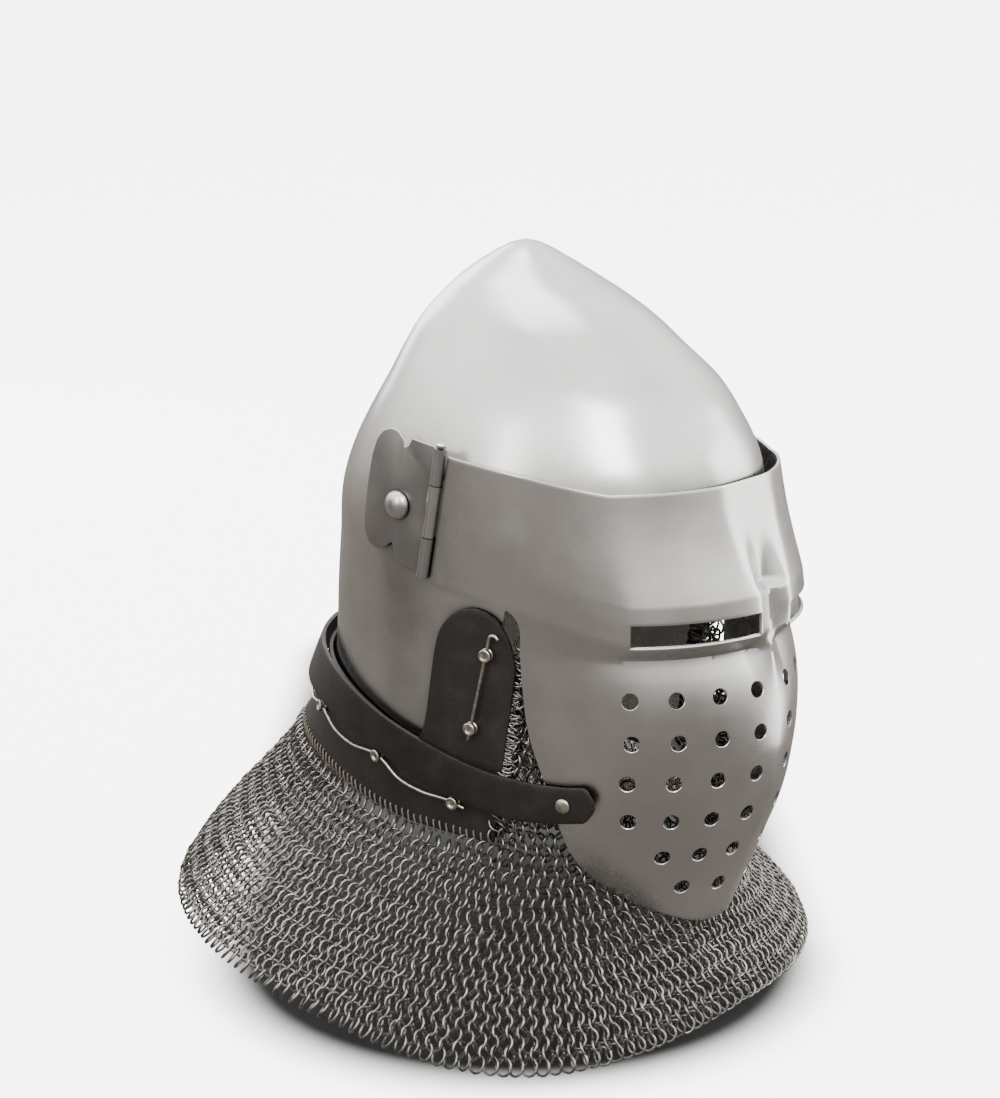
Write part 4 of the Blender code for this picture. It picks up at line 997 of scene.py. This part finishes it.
def build_studs():
    left = tuple((360 - a, z) for a, z in RIM_STUDS[::-1])
    rim, rim_ways = wire_path(RIM_STUDS + left, WIRE_SAG)
    finished(wire("wire_rim", rim, WIRE), stud_metal(), stands_for=["rim_wire"],
             sharp=0)
    cheek, cheek_ways = wire_path(CHEEK_STUDS, 0)
    # The cheek wire's upper end is curled back round its stud
    top, way = cheek[0], -cheek_ways[0]
    _, out, _ = leather_frame(CHEEK_STUDS[0][0], CHEEK_STUDS[0][1] * MM)
    back = np.cross(way, out)
    curl = [top + way * a * MM + back * b * MM
            for a, b in ((3.2, 5.2), (5.0, 3.4), (4.4, 0.4), (2.6, 0.0))]
    for side, name in SIDES:
        path = [point * (-side, 1, 1) for point in curl + cheek]
        finished(wire("wire_cheek_" + name, path, WIRE), stud_metal(),
                 stands_for=["cheek_wire_" + name], sharp=0)
    number = 0
    top = STUD_REST + STUD_HEIGHT
    r, neck = STUD_RADIUS, STUD_SHANK
    profile = ((0, -LEATHER_OUT * 0.66), (neck, -LEATHER_OUT * 0.66), (neck, STUD_REST),
               (r * 0.92, STUD_REST), (r, STUD_REST + 0.3 * MM), (r, STUD_REST + 1.0 * MM),
               (r * 0.86, STUD_REST + 1.4 * MM), (r * 0.86, top - 1.4 * MM), (r, top - 1.0 * MM),
               (r, top - 0.35 * MM), (r * 0.9, top), (r * 0.62, top), (r * 0.5, top - 0.4 * MM),
               (r * 0.42, top - 1.1 * MM), (0, top - 1.2 * MM))
    ways = list(rim_ways[:len(RIM_STUDS)]) + cheek_ways
    for (angle, z), way in zip(RIM_STUDS + CHEEK_STUDS, ways):
        here, out, _ = leather_frame(angle, z * MM)
        for side, _ in SIDES:
            number += 1
            flip = np.array([-side, 1, 1])
            mesh, eye = bmesh.new(), bmesh.new()
            turned(mesh, here * flip, out * flip, profile, 28)
            made = put(f"stud_post_{number:02d}", mesh)
            middle = (here + out * EYE) * flip
            rod(eye, middle - way * flip * 3 * r, middle + way * flip * 3 * r, WIRE + 0.3 * MM, 14)
            cut(made, eye)
            finished(made, stud_metal(), stands_for=[f"vervelle_{number:02d}"])


def build_strap():
    half, across, tab = 150, 12, 6 * MM
    places = np.linspace(0, STRAP_TABLE.shape[1] - 1, 2000)
    x, y, z, wide, lean = eased(STRAP_TABLE.T, places, 0.5).T
    length = np.concatenate([[0], np.cumsum(np.hypot(np.diff(x), np.diff(y)))])
    # The rounded end takes 30 of the columns, in the first 4% of the length
    even = np.concatenate([np.linspace(0, 0.04, 30), np.linspace(0.04, 1, half - 29)[1:]])
    even = length[-1] * even
    x, y, z, wide, lean = [np.interp(even, length, column) for column in (x, y, z, wide, lean)]
    end = np.clip((tab - even) / tab, 0, 1)
    wide = wide * np.maximum(np.sqrt(1 - end ** 2), 0.02)
    line = np.stack([-x, y], -1)
    line = np.concatenate([line, line[-2::-1] * (-1, 1)])
    z, wide, lean = [np.concatenate([column, column[-2::-1]]) for column in (z, wide, lean)]
    along = np.gradient(line, axis=0)
    out = np.stack([-along[:, 1], along[:, 0]], -1)
    out = out / np.linalg.norm(out, axis=1)[:, None]
    out = out * np.where((out * line).sum(axis=1) < 0, -1, 1)[:, None]
    rows = []
    for share in np.linspace(0.5, -0.5, across + 1):
        crown = 0.35 * MM * (1 - (2 * share) ** 4)
        flat = line - out * (lean * share)[:, None] + out * crown
        rows.append(np.concatenate([flat, (z + wide * share)[:, None]], axis=1))
    grid = np.array(rows)
    mesh = grid_mesh(grid.shape[1] - 1, across, lambda u, v: grid[v, u])
    facing_out(mesh, (0, 0, -0.12))
    made = put("neck_strap", mesh)
    wall(made, sizes().strap, 1, even=False)
    rounded(made, 0.6 * MM, 3, 60)
    holes, heads = bmesh.new(), []
    centre = grid[across // 2]
    rivet_x, rivet_y = STRAP_RIVET
    k = int(np.argmin(np.hypot(centre[:half, 0] - rivet_x, centre[:half, 1] - rivet_y)))
    for side, name in SIDES:
        at = centre[k] * (-side, 1, 1)
        away = np.array([out[k][0] * -side, out[k][1], 0])
        rod(holes, at - away * 4 * MM, at + away * 6 * MM, 2.4 * MM, 20)
        heads.append((name, at, away))
    cut(made, holes)
    hide = once("strap_leather", lambda: grain_leather("strap_leather", colours().strap, 0.42))
    finished(made, hide, stands_for=["strap"], sharp=40)
    over = sizes().strap + 0.35 * MM
    profile = ((0, 0.1 * MM), (2 * MM, 0.1 * MM), (2 * MM, over), (3.9 * MM, over),
               (4 * MM, over + 0.25 * MM), (3.7 * MM, over + 0.7 * MM), (3.0 * MM, over + 1.0 * MM),
               (1.6 * MM, over + 1.15 * MM), (0, over + 1.2 * MM))
    for name, at, away in heads:
        mesh = bmesh.new()
        turned(mesh, at, away, profile, 32)
        finished(put("strap_stud_" + name, mesh), stud_metal(), stands_for=["strap_rivet_" + name])


def mail_surface():
    """Function that gives points of the mail's outside for degrees and distance up from its hem,
    and how far up it goes at each of those angles."""
    angles = np.arange(0, 180.5, 1.0)
    _, _, low_a, low_z = LEATHER_EDGES
    top = leather_at(angles, (curve(low_a, low_z, angles) + 0.6) * MM, 0.35 * MM)
    rows = []
    for zf, zd, zs, zb, half, front, back in MAIL[::-1]:
        x, y = outline(angles, half, front, back, (1.95, 2.5, 2.0))
        rows.append(np.stack([x, y, curve(MAIL_STOPS, (zf, zd, zs, zb), angles)], -1) * MM)
    bib_rows = []
    for z, rise, half, reach, edge in BIB[::-1]:
        share = np.clip(angles / BIB_END, 0, 1)
        x, y = outline(share * edge, half, reach, reach, (1.8, 3.6, 3.6))
        row = np.stack([x, y, z + rise * share ** 2], -1) * MM
        bib_rows.append(np.where((angles <= BIB_END)[:, None], row, top))
    rows += bib_rows
    rows = np.array(rows)
    rows = np.concatenate([rows, rows[:, -2:0:-1] * (-1, 1, 1)], axis=1)
    steps = np.linalg.norm(np.diff(rows, axis=0), axis=2)
    reach = np.concatenate([np.zeros((1, rows.shape[1])), np.cumsum(steps, axis=0)])
    return rows, reach


def build_mail():
    ring, thick, rise = sizes().ring, sizes().ring_wire, sizes().row_pitch
    rows, reach = mail_surface()
    columns = rows.shape[1]
    rng = np.random.default_rng(sizes().seed)

    def level(distance):
        found = np.empty((columns, 3))
        for j in range(columns):
            climb = reach[:, j] + np.arange(len(rows)) * 1e-9
            for k in range(3):
                found[j, k] = np.interp(distance, climb, rows[:, j, k])
        return found

    places, turns = [], []
    count = 0
    total = int(reach[-1].max() / rise) + 1
    lines = [level((row + 0.75) * rise) for row in range(-1, total + 1)]
    for row in range(total):
        below, here, above = lines[row], lines[row + 1], lines[row + 2]
        closed = np.concatenate([here, here[:1]])
        length = np.concatenate([[0], np.cumsum(np.linalg.norm(np.diff(closed, axis=0), axis=1))])
        if not count or not 5.7 * MM <= length[-1] / count <= 6.9 * MM:
            count = int(round(length[-1] / ((6.8 if not count else 6.3) * MM)))
        pitch = length[-1] / count
        lean = np.arccos(np.clip(pitch / (2.05 * ring), 0.5, 0.93))
        stops = ((np.arange(count) + 0.5 * (row % 2)) * pitch) % length[-1]
        at = np.interp(stops, length, np.arange(columns + 1))
        i = at.astype(int) % columns
        share = (at - at.astype(int))[:, None]
        n = (i + 1) % columns
        free = reach[-1][np.where(share[:, 0] < 0.5, i, n)] - (row + 0.75) * rise
        middle = here[i] * (1 - share) + here[n] * share
        along = here[n] - here[i]
        along = along / np.linalg.norm(along, axis=1)[:, None].clip(1e-9)
        up = (above[i] - below[i]) * (1 - share) + (above[n] - below[n]) * share
        up = up - along * (up * along).sum(axis=1)[:, None]
        up = up / np.linalg.norm(up, axis=1)[:, None].clip(1e-9)
        out = np.cross(along, up)
        out = out * np.where((out * (middle * (1, 1, 0.2))).sum(axis=1) < 0, -1, 1)[:, None]
        tilt = lean * (1 if row % 2 else -1) + rng.normal(0, 0.09, count)
        roll = rng.normal(0, 0.08, count)
        c, s = np.cos(tilt)[:, None], np.sin(tilt)[:, None]
        wide, face = along * c + out * s, out * c - along * s
        tall = up + face * roll[:, None]
        tall = tall / np.linalg.norm(tall, axis=1)[:, None]
        face = np.cross(wide, tall)
        middle = middle - out * 1.5 * MM + rng.normal(0, 0.15 * MM, middle.shape)
        fits = free > RING_ROOM
        places.append(middle[fits])
        turns.append(np.stack([wide, tall, face], 2)[fits])
    mesh = bmesh.new()
    circle = bmesh.ops.create_circle(
        mesh, segments=5, radius=thick,
        matrix=Matrix.Translation((ring, 0, 0)) @ Matrix.Rotation(np.pi / 2, 4, "X"))["verts"]
    edges = list(mesh.edges)
    bmesh.ops.spin(mesh, geom=circle + edges, cent=(0, 0, 0), axis=(0, 0, 1), angle=2 * np.pi,
                   steps=13, use_merge=True)
    bmesh.ops.remove_doubles(mesh, verts=mesh.verts, dist=1e-6)
    bmesh.ops.recalc_face_normals(mesh, faces=mesh.faces)
    places, turns = np.concatenate(places), np.concatenate(turns)
    iron = once("blackened_wire", blackened_wire)
    side = np.where(places[:, 0] < 0, "right", "left")
    end = np.where(places[:, 1] < 0, "front", "back")
    for name in ("right_front", "right_back", "left_front", "left_back"):
        mine = np.char.add(np.char.add(side, "_"), end) == name
        made = copies("mail_" + name, mesh, turns[mine], places[mine])
        finished(made, iron, stands_for=["mail_aventail"], sharp=0)
    mesh.free()


def build_stage():
    scene = bpy.context.scene
    # The floor rises far behind the object. Only the camera sees it, so the steel reflects the air
    def rise(u, v):
        x, y = (u / 60 - 0.5) * 14, (0.5 - v / 60) * 14
        far = np.maximum(np.hypot(x, y) - FLOOR_FLAT, 0)
        return np.stack([x, y, FLOOR_Z + 0.3 * far ** 2], -1)

    floor = put("floor", grid_mesh(60, 60, rise))
    floor.data.shade_smooth()
    floor.data.materials.append(matt_backdrop())
    floor.visible_glossy = floor.visible_diffuse = floor.visible_shadow = False

    # Air: light from above, grey walls, a dark ground
    world = bpy.data.worlds.new("studio_air")
    world.use_nodes = True
    tree = world.node_tree
    way = add_node(tree, "ShaderNodeTexCoord").outputs["Generated"]
    parts = add_node(tree, "ShaderNodeSeparateXYZ", {}, {"Vector": way})
    drift = noise(tree, way, 1.3, 1.0)
    level = mapped(tree, parts.outputs["Z"], (-0.1, 0.9), (-1.0, 1.0))
    sway = add_node(tree, "ShaderNodeMath", {"operation": "MULTIPLY_ADD", 1: 0.2},
                    {0: drift.outputs["Fac"], 2: level})
    tone = add_node(tree, "ShaderNodeValToRGB", {"stops": (
        (0.0, linear("#55504D")), (0.36, linear("#5A5552")), (0.47, linear("#6B6662")),
        (0.54, linear("#8E8B88")), (0.63, linear("#BEBCBA")), (0.8, linear("#FFFFFF")),
        (1.0, linear("#E9E9E9")))}, {"Fac": sway.outputs[0]})
    air = tree.nodes["Background"]
    tree.links.new(tone.outputs["Color"], air.inputs["Color"])
    air.inputs["Strength"].default_value = AIR_STRENGTH
    scene.world = world

    # A grey cloth beside the hinge side shows only in the steel
    flag = bmesh.new()
    slab(flag, [(-1.5, 0.95, -1.0), (-1.5, 2.2, -1.0), (-1.5, 2.2, 0.45), (-1.5, 0.95, 0.45)],
         (-0.01, 0, 0))
    flag = put("flag", flag)
    cloth, _, shader, _ = surface("grey_cloth", 0.0, {"Roughness": 0.9})
    shader.inputs["Base Color"].default_value = (*linear("#57524F"), 1)
    flag.data.materials.append(cloth)
    flag.visible_camera = flag.visible_shadow = flag.visible_diffuse = False

    # Softboxes: name, place, aim, size, power
    lights = (
        ("key", (-1.5, -1.5, 1.9), (0, 0, 0), (0.9, 1.6), 42),
        ("streak", (-2.2, 0.3, 0.9), (0, 0, 0.05), (0.25, 1.4), 10),
        ("fill", (1.9, -1.5, 0.05), (0, 0, -0.05), (1.5, 2.2), 38),
        ("top", (0.2, 0.5, 2.4), (0, 0, 0), (1.6, 1.2), 26),
        ("rim", (0.9, 1.9, 0.9), (0, 0, 0), (1.0, 1.4), 18),
    )
    for name, place, aim, size, power in lights:
        lamp = bpy.data.lights.new(name, "AREA")
        lamp.shape = "RECTANGLE"
        lamp.size, lamp.size_y = size
        lamp.energy = power
        made = bpy.data.objects.new(name, lamp)
        made.location = place
        made.rotation_mode = "QUATERNION"
        made.rotation_quaternion = (Vector(aim) - Vector(place)).to_track_quat("-Z", "Y")
        scene.collection.objects.link(made)

    lens = bpy.data.cameras.new("photo_view")
    lens.lens, lens.sensor_width, lens.sensor_fit = LENS, SENSOR, "HORIZONTAL"
    lens.clip_start, lens.clip_end = 0.05, 60
    camera = bpy.data.objects.new("photo_view", lens)
    scene.collection.objects.link(camera)
    right, up = Vector(CAMERA_RIGHT), Vector(CAMERA_UP)
    back = right.cross(up)
    place = Matrix((right, up, back)).transposed().to_4x4()
    place.translation = CAMERA_AT
    camera.matrix_world = place
    scene.camera = camera


class BASCINET_OT_skull(bpy.types.Operator):
    """Builds the steel skull with its face opening"""
    bl_idname = "bascinet.skull"
    bl_label = "Skull"

    def execute(self, context):
        build_skull()
        return {"FINISHED"}


class BASCINET_OT_visor(bpy.types.Operator):
    """Builds the visor with its boxed slits and its breaths"""
    bl_idname = "bascinet.visor"
    bl_label = "Visor"

    def execute(self, context):
        build_visor()
        return {"FINISHED"}


class BASCINET_OT_hinges(bpy.types.Operator):
    """Builds the hinge plates, their pins and the domed rivets they turn on"""
    bl_idname = "bascinet.hinges"
    bl_label = "Hinges"

    def execute(self, context):
        build_hinges()
        return {"FINISHED"}


class BASCINET_OT_leather(bpy.types.Operator):
    """Builds the leather band and the stitches of its lower edge"""
    bl_idname = "bascinet.leather"
    bl_label = "Leather"

    def execute(self, context):
        build_leather()
        return {"FINISHED"}


class BASCINET_OT_studs(bpy.types.Operator):
    """Builds the studs and the wires that run through them"""
    bl_idname = "bascinet.studs"
    bl_label = "Studs and wires"

    def execute(self, context):
        build_studs()
        return {"FINISHED"}


class BASCINET_OT_strap(bpy.types.Operator):
    """Builds the strap round the nape and its rivets"""
    bl_idname = "bascinet.strap"
    bl_label = "Strap"

    def execute(self, context):
        build_strap()
        return {"FINISHED"}


class BASCINET_OT_mail(bpy.types.Operator):
    """Builds the mail cape from its rings"""
    bl_idname = "bascinet.mail"
    bl_label = "Mail"

    def execute(self, context):
        build_mail()
        return {"FINISHED"}


class BASCINET_OT_stage(bpy.types.Operator):
    """Builds the floor, the lights and the camera"""
    bl_idname = "bascinet.stage"
    bl_label = "Stage"

    def execute(self, context):
        build_stage()
        return {"FINISHED"}


STEPS = (BASCINET_OT_stage, BASCINET_OT_skull, BASCINET_OT_visor, BASCINET_OT_hinges,
         BASCINET_OT_leather, BASCINET_OT_studs, BASCINET_OT_strap, BASCINET_OT_mail)


class BASCINET_PT_panel(bpy.types.Panel):
    """Sizes, colours and pieces of the bascinet"""
    bl_idname = "BASCINET_PT_panel"
    bl_label = "Bascinet"
    bl_space_type = "VIEW_3D"
    bl_region_type = "UI"
    bl_category = "Bascinet"

    def draw(self, context):
        for group in (context.scene.bascinet_sizes, context.scene.bascinet_colours):
            box = self.layout.box()
            for name in group.bl_rna.properties.keys():
                if name not in ("rna_type", "name"):
                    box.prop(group, name)
        for step in STEPS:
            self.layout.operator(step.bl_idname)


CLASSES = (BascinetSizes, BascinetColours, *STEPS, BASCINET_PT_panel)


def register():
    for made in CLASSES:
        bpy.utils.register_class(made)
    bpy.types.Scene.bascinet_sizes = PointerProperty(type=BascinetSizes)
    bpy.types.Scene.bascinet_colours = PointerProperty(type=BascinetColours)


def unregister():
    del bpy.types.Scene.bascinet_colours
    del bpy.types.Scene.bascinet_sizes
    for made in reversed(CLASSES):
        bpy.utils.unregister_class(made)


def main():
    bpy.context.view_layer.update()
    register()
    bpy.ops.bascinet.stage()
    bpy.ops.bascinet.skull()
    bpy.ops.bascinet.visor()
    bpy.ops.bascinet.hinges()
    bpy.ops.bascinet.leather()
    bpy.ops.bascinet.studs()
    bpy.ops.bascinet.strap()
    bpy.ops.bascinet.mail()


if __name__ == "__main__":
    main()
